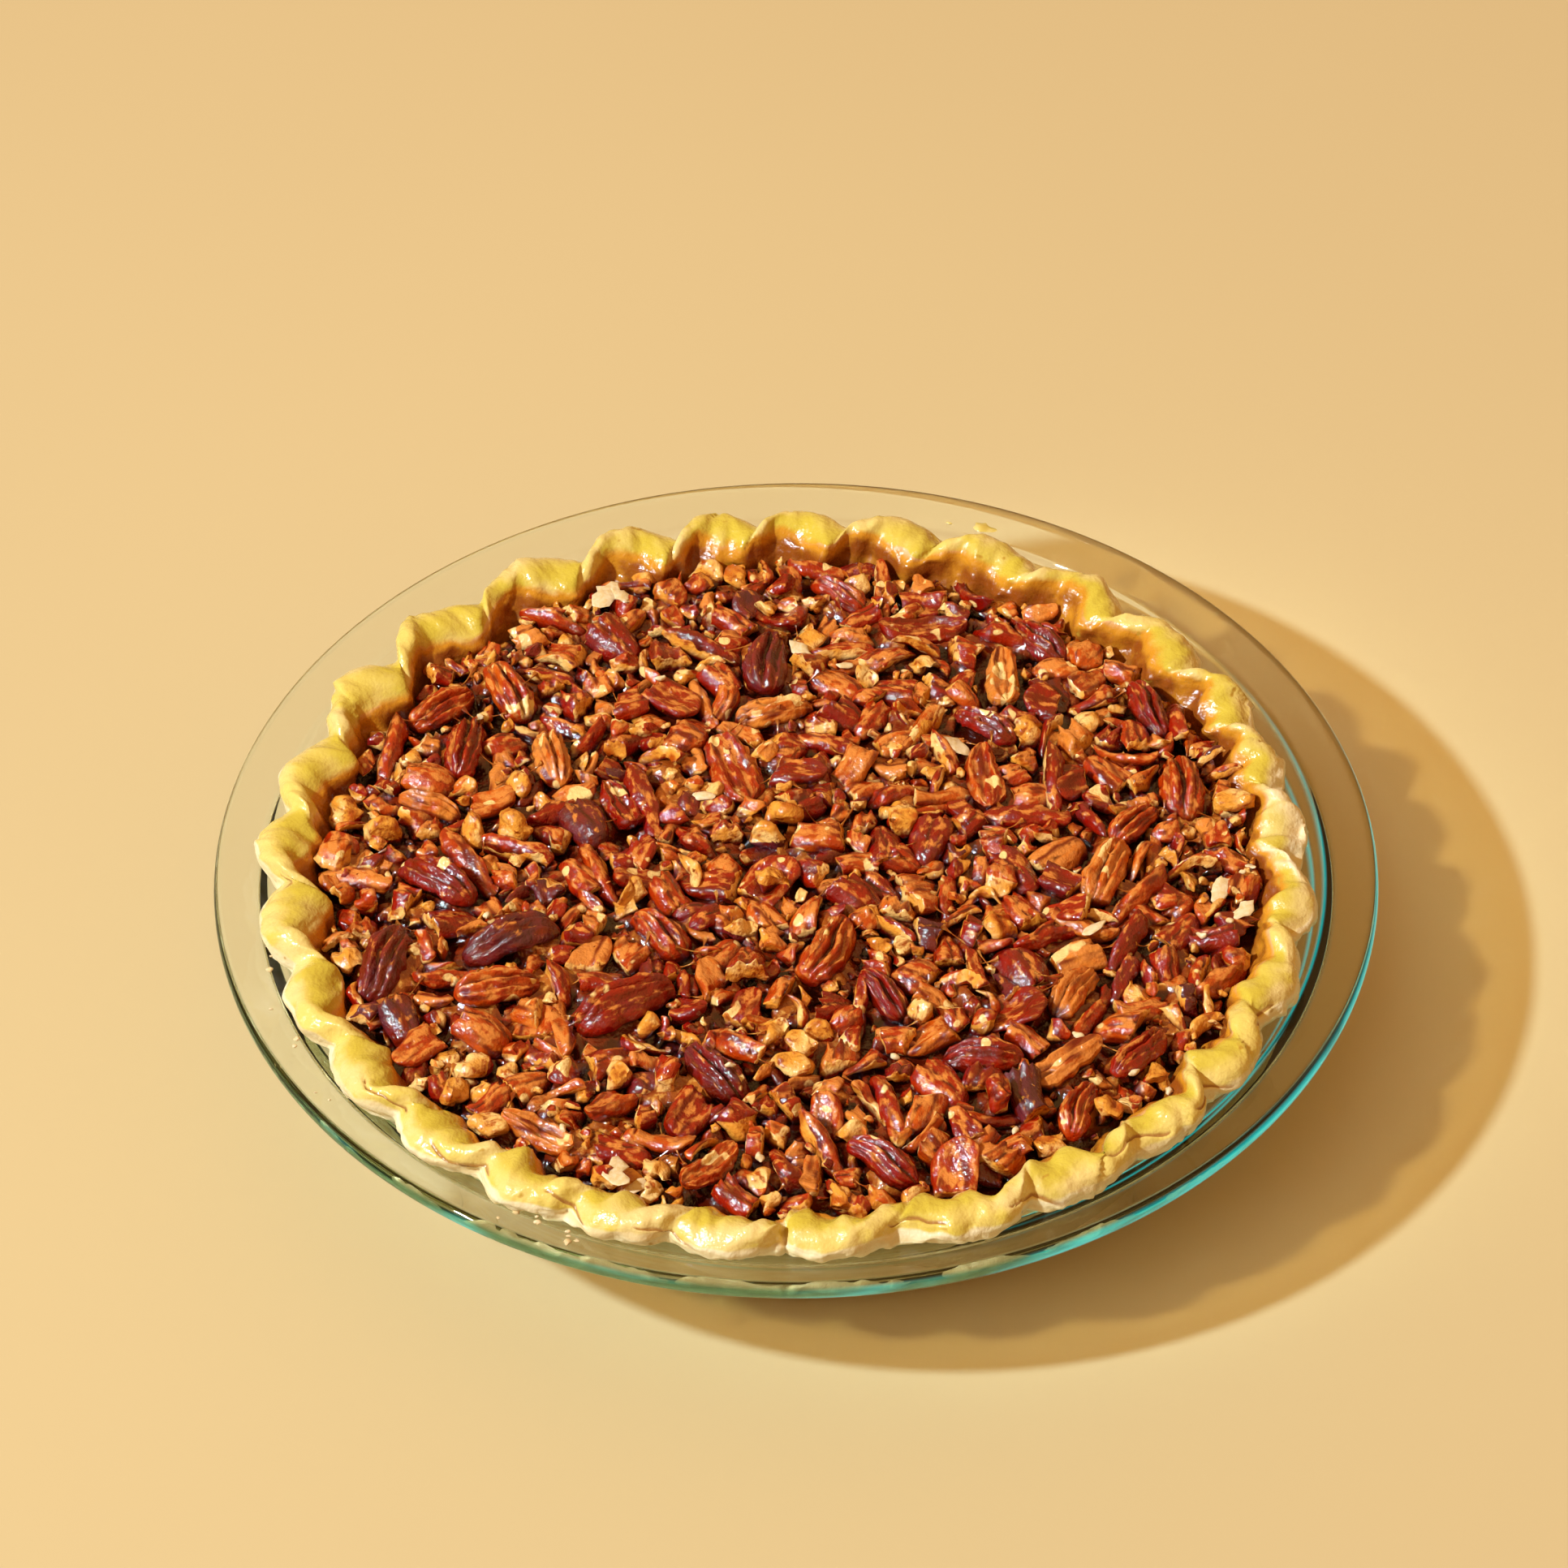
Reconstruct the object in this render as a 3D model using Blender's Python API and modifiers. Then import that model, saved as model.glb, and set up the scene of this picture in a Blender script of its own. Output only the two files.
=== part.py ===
"""Pecan pie baked in a clear glass pie dish.

A turned glass dish holds a pastry crust with a hand-fluted standing edge. The crust is filled with
custard, and a heap of chopped pecans lies on the custard, with whole pecan halves bedded in it.
Metres, +Z up. The origin is the middle of the dish's underside, on the surface it stands on.
The pie is seen from -Y, so +X is its right side.
"""

import math
import random

import bmesh
import bpy
from mathutils import Euler, Matrix, Vector, noise

MM = 0.001
OBJECT_NAME = "pecan_pie"

# Glass dish: a 9 inch pie dish, measured across the inside at the top of its wall.
MOUTH_RADIUS = 114.6 * MM
RIM_RADIUS = 126.0 * MM
DISH_HEIGHT = 38.0 * MM
FLANGE_RISE = 2.4 * MM
FLANGE_THICKNESS = 4.1 * MM
UNDERSIDE_RISE = 0.75 * FLANGE_RISE
FLOOR_RADIUS = 94.0 * MM
FLOOR_TOP = 4.2 * MM
BASE_RADIUS = 96.5 * MM
FOOT_WIDTH = 6.5 * MM
FOOT_HEIGHT = 0.8 * MM
OUTER_WALL_RADIUS = 117.0 * MM
DISH_STEPS = 48

# Crust: its inner side, from the edge of its floor up to its crest.
CRUST_FLOOR_TOP = 7.8 * MM
CRUST_INNER_SIDE = [(86.0 * MM, 7.8 * MM), (92.0 * MM, 11.0 * MM), (98.5 * MM, 24.0 * MM),
                    (101.3 * MM, 34.0 * MM), (102.6 * MM, 40.0 * MM)]
CRUST_CREST = [(105.2 * MM, 43.8 * MM), (109.2 * MM, 43.8 * MM)]
CRUST_OUTER_EDGE = [(111.4 * MM, 40.5 * MM), (107.3 * MM, 35.4 * MM)]
CRUST_WALL_HEIGHTS = [30.0 * MM, 10.0 * MM, 4.6 * MM]
CRUST_STEPS = 120

# The crust's top has slid over towards the near rim, and has come away from the glass behind.
LEAN = Vector((-1.5 * MM, -5.0 * MM, 0.0))
LEAN_FROM, LEAN_TO = 12.0 * MM, 34.0 * MM

# Flutes pinched round the edge by hand, so unevenly: the angle of each outward fold, in degrees.
FLUTES = [4, 15, 24, 37, 50, 63, 75, 87, 97, 108, 122, 137, 151, 166, 177, 190, 203, 216, 229, 240,
          251, 262, 273, 288, 302, 314, 325, 339, 352]
FLUTE_DEPTH = 3.4 * MM
FLUTE_DEPTH_CHANGE = 1.2 * MM
FLUTES_FROM, FLUTES_TO = 32.0 * MM, 43.0 * MM
FLUTES_INNER, FLUTES_FULL = 80.0 * MM, 97.0 * MM
HIGHEST_AT = math.radians(130)
CREST_DROOP = 1.0 * MM
FOLD_LIFT = 0.5 * MM

# Filling and topping.
FILLING_TOP = 29.8 * MM
HEAP_TOP = 38.2 * MM
HEAP_RINGS = [15 * MM, 32 * MM, 50 * MM, 67 * MM, 84 * MM]
HEAP_EDGE_HEIGHTS = [35.4 * MM, 32.6 * MM, 30.1 * MM]
HEAP_EDGE_SLOPE = 0.35
HEAP_BUMP = 1.7 * MM
HEAP_BUMP_WIDTH = 16.0 * MM
HEAP_STEPS = 48

# Pecan halves: x, y and length in millimetres, heading in degrees, grouped by their colour.
PECANS = {
    "brown": [(-64, 50, 19, 115), (-79, 45, 18, 40), (-14, 24, 22, 108), (85, 18, 20, 92),
              (42, 21, 18, 92), (74, 5, 15, 45), (-63, -44, 18, 15), (-29, -27, 17, 130),
              (-18, -94, 16, 50), (57, -79, 15, 68), (7, -33, 21, 65), (11, 83, 15, 145)],
    "red": [(-73, 32, 19, 80), (-38, 13, 16, 115), (56, 66, 17, 128), (79, 42, 17, 110),
            (43, 37, 16, 140), (-77, -11, 20, 145), (-37, -49, 24, 32), (18, -46, 15, 120),
            (71, -64, 17, 50), (17, -93, 17, 140), (38, -64, 17, 175), (30, 70, 20, 5)],
    "purple": [(-61, -29, 21, 22), (-6, 60, 19, 82), (-87, -36, 21, 72), (-17, -69, 18, 130)],
    "pale": [(-5, 42, 18, 15), (-54, 28, 17, 106), (47, 53, 19, 88), (67, -10, 19, 65),
             (55, -66, 18, 35), (-80, 13, 15, 160), (58, -46, 16, 55), (-53, -84, 16, 152)],
}
PECAN_WIDTH_SHARE = 0.5
PECAN_HEIGHT_SHARE = 0.66
PECAN_REST = 38.7 * MM
PECAN_SIDES = 8
PECAN_RINGS = 5
PECAN_TILT = 8
PECAN_SHIFT = 0.5 * MM
PECAN_UPPER_SHARE = 0.62
FURROW_DEPTH = 0.7
FURROW_WIDTH = 0.35
POCKET_SIDES = 8
POCKET_RINGS = 4
POCKET_CLEARANCE = 1.5 * MM
SEED = 7
MERGE_DISTANCE = 0.05 * MM

# Clearance between touching pieces, and between facets that face each other at a slant.
GAP = 0.35 * MM
SIDE_GAP = 0.49 * MM

COLOURS = {
    "glass": (0.80, 0.93, 0.90, 0.35),
    "pastry": (0.86, 0.66, 0.26, 1.0),
    "custard": (0.16, 0.05, 0.015, 1.0),
    "pecan_chopped": (0.42, 0.18, 0.06, 1.0),
    "pecan_brown": (0.40, 0.14, 0.04, 1.0),
    "pecan_red": (0.35, 0.06, 0.03, 1.0),
    "pecan_purple": (0.16, 0.04, 0.05, 1.0),
    "pecan_pale": (0.66, 0.42, 0.18, 1.0),
}


def clear_scene():
    for thing in list(bpy.data.objects):
        bpy.data.objects.remove(thing, do_unlink=True)


def new_collection(name):
    collection = bpy.data.collections.new(name)
    bpy.context.scene.collection.children.link(collection)
    return collection


def material(name, roughness):
    """A plain finish for one kind of surface."""
    finish = bpy.data.materials.new(name)
    finish.use_nodes = True
    shader = finish.node_tree.nodes["Principled BSDF"]
    shader.inputs["Base Color"].default_value = COLOURS[name]
    shader.inputs["Roughness"].default_value = roughness
    shader.inputs["Metallic"].default_value = 0.0
    if name == "glass":
        shader.inputs["Transmission Weight"].default_value = 1.0
        shader.inputs["IOR"].default_value = 1.5
    return finish


def ramp(value, start, end):
    return min(max((value - start) / (end - start), 0.0), 1.0)


def smooth_ramp(value, start, end):
    share = ramp(value, start, end)
    return share * share * (3.0 - 2.0 * share)


def rounded(corners):
    """An outline through (r, z, fillet radius, arc pieces) corners, with an arc at each fillet."""
    points = []
    for i, (r, z, radius, pieces) in enumerate(corners):
        corner = Vector((r, z))
        if not radius:
            points.append(corner)
            continue
        before = (Vector(corners[i - 1][:2]) - corner).normalized()
        after = (Vector(corners[i + 1][:2]) - corner).normalized()
        half = before.angle(after) / 2.0
        centre = corner + (before + after).normalized() * (radius / math.sin(half))
        start = corner + before * (radius / math.tan(half)) - centre
        sweep = start.angle_signed(corner + after * (radius / math.tan(half)) - centre)
        for k in range(pieces + 1):
            points.append(centre + Matrix.Rotation(-sweep * k / pieces, 2) @ start)
    return [(p.x, p.y) for p in points]


def dish_outline():
    """From the middle of the floor up the inner wall, over the flange and down the outer wall."""
    under_rim = DISH_HEIGHT - FLANGE_THICKNESS
    under_flange = under_rim - UNDERSIDE_RISE
    foot = BASE_RADIUS - FOOT_WIDTH
    return rounded([
        (0.0, FLOOR_TOP, 0, 0),
        (FLOOR_RADIUS, FLOOR_TOP, 9.0 * MM, 3),
        (MOUTH_RADIUS, DISH_HEIGHT - FLANGE_RISE, 1.6 * MM, 2),
        (RIM_RADIUS, DISH_HEIGHT, 1.9 * MM, 2),
        (RIM_RADIUS, under_rim, 1.9 * MM, 2),
        (OUTER_WALL_RADIUS, under_flange, 2.5 * MM, 2),
        (BASE_RADIUS, 0.0, 3.0 * MM, 2),
        (foot, 0.0, 0, 0),
        (foot - FOOT_HEIGHT, FOOT_HEIGHT, 0, 0),
        (0.0, FOOT_HEIGHT, 0, 0),
    ])


def radius_at(side, height):
    """Radius of a rising side, given as (r, z) points, at a height."""
    for (r0, z0), (r1, z1) in zip(side, side[1:]):
        if z0 <= height <= z1 and z1 > z0:
            return r0 + (r1 - r0) * (height - z0) / (z1 - z0)
    return side[-1][0]


def turned(name, outline, steps, finish, collection):
    """An object turned about Z from an outline that runs down its outer side."""
    mesh = bpy.data.meshes.new(name)
    edges = [(i, i + 1) for i in range(len(outline) - 1)]
    mesh.from_pydata([(r, 0.0, z) for r, z in outline], edges, [])
    obj = bpy.data.objects.new(name, mesh)
    collection.objects.link(obj)
    mesh.materials.append(finish)
    screw = obj.modifiers.new("turn", "SCREW")
    screw.axis = "Z"
    screw.steps = steps
    screw.render_steps = steps
    screw.use_merge_vertices = True
    screw.merge_threshold = MERGE_DISTANCE
    screw.use_smooth_shade = True
    return obj


def fix_shape(obj):
    """Turns an object's modifiers into its own mesh."""
    bpy.context.view_layer.update()
    evaluated = obj.evaluated_get(bpy.context.evaluated_depsgraph_get())
    mesh = bpy.data.meshes.new_from_object(evaluated)
    obj.modifiers.clear()
    obj.data = mesh


def lean(height):
    """How much of its slide the pie's side has at a height, from 0 to 1."""
    return ramp(height, LEAN_FROM, LEAN_TO)


def flute_wave(angle):
    """1 on a fold's outward tip, -1 in the pinch between two folds."""
    degrees = math.degrees(angle) % 360.0
    tips = [FLUTES[-1] - 360.0] + FLUTES + [FLUTES[0] + 360.0]
    for low, high in zip(tips, tips[1:]):
        if low <= degrees <= high:
            return math.cos(2.0 * math.pi * (degrees - low) / (high - low))
    return 0.0


def pinched(point):
    """Where a point of the round pie lies once its edge is fluted and its top has slid."""
    radius = math.hypot(point.x, point.y)
    angle = math.atan2(point.y, point.x)
    height = point.z
    turn = math.cos(angle - HIGHEST_AT)
    share = smooth_ramp(height, FLUTES_FROM, FLUTES_TO)
    share *= smooth_ramp(radius, FLUTES_INNER, FLUTES_FULL)
    wave = flute_wave(angle) * share
    radius += (FLUTE_DEPTH + FLUTE_DEPTH_CHANGE * turn) * wave
    height += FOLD_LIFT * wave - CREST_DROOP * (1.0 - turn) * share
    moved = Vector((radius * math.cos(angle), radius * math.sin(angle), height))
    return moved + LEAN * lean(point.z)


def reshape(obj, move):
    """Moves each vertex by a rule, then turns all faces outwards."""
    fix_shape(obj)
    shape = bmesh.new()
    shape.from_mesh(obj.data)
    for vertex in shape.verts:
        vertex.co = move(vertex.co)
    bmesh.ops.recalc_face_normals(shape, faces=shape.faces)
    shape.to_mesh(obj.data)
    shape.free()


def make_dish(collection):
    turned("glass_dish", dish_outline(), DISH_STEPS, material("glass", 0.03), collection)


def make_crust(collection):
    """Pastry that lines the dish and stands up in a fluted edge."""
    dish = dish_outline()
    slide = LEAN.length
    outer_wall = [(radius_at(dish, z) - GAP - slide * lean(z), z) for z in CRUST_WALL_HEIGHTS]
    outline = ([(0.0, CRUST_FLOOR_TOP)] + CRUST_INNER_SIDE + CRUST_CREST + CRUST_OUTER_EDGE
               + outer_wall + [(0.0, CRUST_WALL_HEIGHTS[-1])])
    crust = turned("crust", outline, CRUST_STEPS, material("pastry", 0.5), collection)
    reshape(crust, pinched)


def make_filling(collection):
    """Custard that fills the crust up to the nuts."""
    bottom = CRUST_FLOOR_TOP + GAP
    corners = [(r - SIDE_GAP, z) for r, z in CRUST_INNER_SIDE[2:0:-1]]
    side = [(radius_at(CRUST_INNER_SIDE, FILLING_TOP) - SIDE_GAP, FILLING_TOP)] + corners
    foot = (CRUST_INNER_SIDE[0][0] - SIDE_GAP, bottom)
    outline = [(0.0, FILLING_TOP)] + side + [foot, (0.0, bottom)]
    filling = turned("custard_filling", outline, HEAP_STEPS, material("custard", 0.2), collection)
    reshape(filling, pinched)


def bumped(point):
    """Where a point of the heap's flat top lies on its uneven top."""
    moved = pinched(point)
    if point.z > FILLING_TOP + HEAP_BUMP_WIDTH / 2.0:
        moved.z += HEAP_BUMP * noise.noise(point / HEAP_BUMP_WIDTH)
    return moved


def make_heap(collection, pockets):
    """The chopped nuts as one solid, with a pocket for each pecan half."""
    top = [(r, HEAP_TOP) for r in [0.0] + HEAP_RINGS]
    bottom = HEAP_EDGE_HEIGHTS[-1]
    edge = []
    for z in HEAP_EDGE_HEIGHTS:
        slope = HEAP_EDGE_SLOPE * max(z - HEAP_EDGE_HEIGHTS[1], 0.0)
        edge.append((radius_at(CRUST_INNER_SIDE, z) - SIDE_GAP - slope, z))
    outline = top + edge + [(0.0, bottom)]
    finish = material("pecan_chopped", 0.35)
    heap = turned("chopped_pecans", outline, HEAP_STEPS, finish, collection)
    reshape(heap, bumped)
    cut = heap.modifiers.new("pockets", "BOOLEAN")
    cut.operation = "DIFFERENCE"
    cut.operand_type = "COLLECTION"
    cut.collection = pockets
    cut.solver = "EXACT"


def pecan_mesh(name, length, sides, rings, furrow):
    """A pecan half along X: a flat underside, round ends and two lobes with a furrow between."""
    width = length * PECAN_WIDTH_SHARE
    height = width * PECAN_HEIGHT_SHARE
    shape = bmesh.new()
    bmesh.ops.create_uvsphere(shape, u_segments=sides, v_segments=rings, radius=1.0)
    for vertex in shape.verts:
        along, across, up = vertex.co.z, vertex.co.x, vertex.co.y
        middle = 1.0 - along * along
        dip = furrow * middle * math.exp(-(across / FURROW_WIDTH) ** 2) if up > 0.0 else 0.0
        lift = up * (PECAN_UPPER_SHARE if up > 0.0 else 1.0 - PECAN_UPPER_SHARE)
        vertex.co = Vector((along * length, across * width, (2.0 * lift - dip) * height)) / 2.0
    mesh = bpy.data.meshes.new(name)
    shape.to_mesh(mesh)
    shape.free()
    mesh.shade_smooth()
    return mesh


def make_pecans(collection, pockets):
    """The pecan halves, and the cutter of the pocket that each lies in."""
    dice = random.Random(SEED)
    for colour, halves in PECANS.items():
        finish = material("pecan_" + colour, 0.35)
        for number, (x, y, length, heading) in enumerate(halves, start=1):
            name = f"pecan_{colour}_{number:02d}"
            tilt = [math.radians(dice.uniform(-PECAN_TILT, PECAN_TILT)) for _ in range(2)]
            turn = Euler((tilt[0], tilt[1], math.radians(heading)))
            rest = PECAN_REST + dice.uniform(-PECAN_SHIFT, PECAN_SHIFT)
            place = Vector((x * MM, y * MM, rest))
            long = length * MM
            shape = pecan_mesh(name, long, PECAN_SIDES, PECAN_RINGS, FURROW_DEPTH)
            half = bpy.data.objects.new(name, shape)
            half.data.materials.append(finish)
            collection.objects.link(half)
            room = pecan_mesh(name, long + 2.0 * POCKET_CLEARANCE, POCKET_SIDES, POCKET_RINGS, 0.0)
            pocket = bpy.data.objects.new("pocket_" + name, room)
            pocket.hide_render = True
            pocket.display_type = "WIRE"
            pockets.objects.link(pocket)
            for thing in (half, pocket):
                thing.location = place
                thing.rotation_euler = turn


def main():
    clear_scene()
    pie = new_collection(OBJECT_NAME)
    pockets = new_collection("pockets")
    make_dish(pie)
    make_crust(pie)
    make_filling(pie)
    make_pecans(pie, pockets)
    make_heap(pie, pockets)


main()
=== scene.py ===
"""Pecan pie in a clear glass pie dish: the finished surfaces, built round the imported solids.

Metres, +Z up. The origin is the middle of the dish's underside, and the pie is seen from -Y.
The dish, crust, custard, pecan halves and chopped pecans each have their own functions below.
"""

import itertools
import math
import random

import bpy
import numpy as np
from mathutils import Euler, Matrix, Vector


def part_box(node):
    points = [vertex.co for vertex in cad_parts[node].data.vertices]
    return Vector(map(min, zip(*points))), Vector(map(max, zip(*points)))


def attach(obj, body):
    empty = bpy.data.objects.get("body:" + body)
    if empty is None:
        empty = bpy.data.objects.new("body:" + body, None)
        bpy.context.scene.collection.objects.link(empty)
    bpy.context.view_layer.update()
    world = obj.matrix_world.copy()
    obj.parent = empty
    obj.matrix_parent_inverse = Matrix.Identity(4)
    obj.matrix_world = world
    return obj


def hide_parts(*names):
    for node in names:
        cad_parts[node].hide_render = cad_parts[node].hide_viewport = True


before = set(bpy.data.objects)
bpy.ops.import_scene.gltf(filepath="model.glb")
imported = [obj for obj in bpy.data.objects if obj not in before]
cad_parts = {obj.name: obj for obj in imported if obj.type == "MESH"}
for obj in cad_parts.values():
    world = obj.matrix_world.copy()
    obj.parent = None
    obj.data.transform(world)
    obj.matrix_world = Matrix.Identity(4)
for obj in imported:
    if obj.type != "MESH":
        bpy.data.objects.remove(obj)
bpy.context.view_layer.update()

MM = 0.001
BODY = "root"

# ---------------------------------------------------------------- sizes shared with the solids

MOUTH_RADIUS = 114.6 * MM
RIM_RADIUS = 126.0 * MM
DISH_HEIGHT = 38.0 * MM
FLANGE_RISE = 2.4 * MM
FLANGE_THICKNESS = 4.1 * MM
UNDERSIDE_RISE = 0.75 * FLANGE_RISE
FLOOR_RADIUS = 94.0 * MM
FLOOR_TOP = 4.2 * MM
BASE_RADIUS = 96.5 * MM
FOOT_WIDTH = 6.5 * MM
FOOT_HEIGHT = 0.8 * MM
OUTER_WALL_RADIUS = 117.0 * MM
DISH_STEPS = 216

CRUST_FLOOR_TOP = 7.8 * MM
CRUST_FLOOR_BOTTOM = 4.0 * MM
CRUST_INNER_SIDE = [(86.0 * MM, 7.8 * MM), (92.0 * MM, 11.0 * MM), (98.5 * MM, 24.0 * MM),
                    (101.3 * MM, 34.0 * MM), (102.6 * MM, 40.0 * MM)]
LEAN = np.array([-1.5 * MM, -5.0 * MM])
LEAN_FROM, LEAN_TO = 12.0 * MM, 34.0 * MM
FLUTES = [4, 15, 24, 37, 50, 63, 75, 87, 97, 108, 122, 137, 151, 166, 177, 190, 203, 216, 229, 240,
          251, 262, 273, 288, 302, 314, 325, 339, 352]
FLUTE_DEPTH = 3.4 * MM
FLUTE_DEPTH_CHANGE = 1.2 * MM
FLUTES_FROM, FLUTES_TO = 30.5 * MM, 41.5 * MM
HIGHEST_AT = math.radians(130)
CREST_DROOP = 1.0 * MM


# ---------------------------------------------------------------- working with meshes

def activate(obj):
    """Selects one object only and makes it the active one."""
    bpy.ops.object.select_all(action="DESELECT")
    obj.select_set(True)
    bpy.context.view_layer.objects.active = obj


def edit_all(obj):
    """Opens an object in edit mode with all of it selected."""
    activate(obj)
    bpy.ops.object.mode_set(mode="EDIT")
    bpy.ops.mesh.select_all(action="SELECT")


def object_mode():
    bpy.ops.object.mode_set(mode="OBJECT")


def points_of(obj):
    points = np.empty(len(obj.data.vertices) * 3)
    obj.data.vertices.foreach_get("co", points)
    return points.reshape(-1, 3)


def place_points(obj, points):
    obj.data.vertices.foreach_set("co", np.asarray(points, float).ravel())
    obj.data.update()


def new_piece(name, points, faces):
    """A mesh object from points and faces."""
    mesh = bpy.data.meshes.new(name)
    mesh.from_pydata(np.asarray(points).tolist(), [], faces)
    mesh.update()
    obj = bpy.data.objects.new(name, mesh)
    bpy.context.scene.collection.objects.link(obj)
    return obj


def keep_value(obj, name, values):
    """Stores one number for each vertex, for a material to read."""
    layer = obj.data.attributes.new(name, "FLOAT", "POINT")
    layer.data.foreach_set("value", np.asarray(values, np.float32))


def keep_vector(obj, name, values):
    layer = obj.data.attributes.new(name, "FLOAT_VECTOR", "POINT")
    layer.data.foreach_set("vector", np.asarray(values, np.float32).ravel())


def put_in_order(obj):
    """Numbers points by their place, and faces by their points: the same in every run."""
    mesh, points = obj.data, points_of(obj)
    order = np.lexsort(points.T)
    number = np.argsort(order)
    faces = []
    for face in mesh.polygons:
        corners = [int(number[corner]) for corner in face.vertices]
        first = corners.index(min(corners))
        faces.append((corners[first:] + corners[:first], face.material_index))
    faces.sort()
    valley = mesh.attributes.get("valley")
    depths = np.empty(len(points), np.float32)
    if valley:
        valley.data.foreach_get("value", depths)
    mesh.clear_geometry()
    mesh.from_pydata(points[order].tolist(), [], [corners for corners, _ in faces])
    mesh.polygons.foreach_set("material_index", [index for _, index in faces])
    if valley:
        keep_value(obj, "valley", depths[order])


def face_out(obj):
    edit_all(obj)
    bpy.ops.mesh.normals_make_consistent(inside=False)
    object_mode()


def smooth(obj, degrees=None):
    activate(obj)
    if degrees is None:
        bpy.ops.object.shade_smooth()
    else:
        bpy.ops.object.shade_smooth_by_angle(angle=math.radians(degrees))


def hand_over(obj, nodes=()):
    """Puts a finished piece on the pie's body, in place of its solids."""
    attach(obj, BODY)
    if nodes:
        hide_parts(*nodes)
    return obj


# ---------------------------------------------------------------- unevenness

def scatter(lattice, seed):
    """A random value from -1 to 1 at each point of a whole-number lattice."""
    mixed = (lattice[:, 0] * 73856093) ^ (lattice[:, 1] * 19349663) ^ (lattice[:, 2] * 83492791)
    mixed = (mixed ^ (seed * 2654435761)) & 0xFFFFFFFF
    mixed = ((mixed ^ (mixed >> 15)) * 1274126177) & 0xFFFFFFFF
    mixed = ((mixed ^ (mixed >> 13)) * 1103515245) & 0xFFFFFFFF
    return (mixed >> 16) / 32767.5 - 1.0


def bumps(points, width, seed=0):
    """Smooth random values from -1 to 1 at points, uneven over about the given width."""
    cell = np.asarray(points, float) / width + 0.37 * seed
    base = np.floor(cell).astype(np.int64)
    part = cell - base
    part = part * part * (3.0 - 2.0 * part)
    total = np.zeros(len(cell))
    for corner in itertools.product((0, 1), repeat=3):
        share = np.prod(np.where(np.array(corner) == 1, part, 1.0 - part), axis=1)
        total += share * scatter(base + np.array(corner), seed)
    return total


def shaken(points, width, amount, seed):
    """Points moved every way by smooth random amounts."""
    change = np.stack([bumps(points, width, seed + k) for k in range(3)], axis=1)
    return points + amount * change


def ramp(value, start, end):
    return np.clip((value - start) / (end - start), 0.0, 1.0)


def smooth_ramp(value, start, end):
    share = ramp(value, start, end)
    return share * share * (3.0 - 2.0 * share)


def hump(value, centre, width):
    """1 at the centre, falling smoothly to 0 either side."""
    return np.exp(-((value - centre) / width) ** 2)


# ---------------------------------------------------------------- glass dish

def rounded(corners):
    """An outline through (r, z, fillet radius, arc pieces) corners, with an arc at each fillet."""
    points = []
    for i, (r, z, radius, pieces) in enumerate(corners):
        corner = Vector((r, z))
        if not radius:
            points.append(corner)
            continue
        before = (Vector(corners[i - 1][:2]) - corner).normalized()
        after = (Vector(corners[i + 1][:2]) - corner).normalized()
        half = before.angle(after) / 2.0
        centre = corner + (before + after).normalized() * (radius / math.sin(half))
        start = corner + before * (radius / math.tan(half)) - centre
        sweep = start.angle_signed(corner + after * (radius / math.tan(half)) - centre)
        for k in range(pieces + 1):
            points.append(centre + Matrix.Rotation(-sweep * k / pieces, 2) @ start)
    return [(p.x, p.y) for p in points]


def dish_outline():
    """From the middle of the floor up the inner wall, over the flange and down the outer wall."""
    under_rim = DISH_HEIGHT - FLANGE_THICKNESS
    under_flange = under_rim - UNDERSIDE_RISE
    foot = BASE_RADIUS - FOOT_WIDTH
    return rounded([
        (0.0, FLOOR_TOP, 0, 0),
        (FLOOR_RADIUS, FLOOR_TOP, 9.0 * MM, 8),
        (MOUTH_RADIUS, DISH_HEIGHT - FLANGE_RISE, 1.6 * MM, 7),
        (RIM_RADIUS, DISH_HEIGHT, 1.9 * MM, 7),
        (RIM_RADIUS, under_rim, 1.9 * MM, 7),
        (OUTER_WALL_RADIUS, under_flange, 2.5 * MM, 7),
        (BASE_RADIUS, 0.0, 3.0 * MM, 7),
        (foot, 0.0, 0.5 * MM, 3),
        (foot - FOOT_HEIGHT, FOOT_HEIGHT, 0.4 * MM, 3),
        (0.0, FOOT_HEIGHT, 0, 0),
    ])


def radius_at(side, height):
    """Radius of a rising side, given as (r, z) points, at a height."""
    for (r0, z0), (r1, z1) in zip(side, side[1:]):
        if z0 <= height <= z1 and z1 > z0:
            return r0 + (r1 - r0) * (height - z0) / (z1 - z0)
    return side[-1][0]


EDGE_GREEN = (0.10, 0.40, 0.29)
# Emission colours that paint a glow into the glass's edge: faint dark green all round, teal towards the
# dish's right.
PAINTED_GLOW_DIM = (0.0, 0.016, 0.010)
PAINTED_GLOW_TEAL = (0.0, 0.42, 0.40)
TEAL_TOWARDS = (0.93, -0.37, 0.0)
GREEN_TOWARDS = (0.35, -0.94, 0.0)


def vector_math(nodes, links, operation, first, second):
    """One vector operation on a socket and a fixed vector."""
    node = nodes.new("ShaderNodeVectorMath")
    node.operation = operation
    links.new(first, node.inputs[0])
    if second is not None:
        node.inputs[1].default_value = second
    return node


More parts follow.
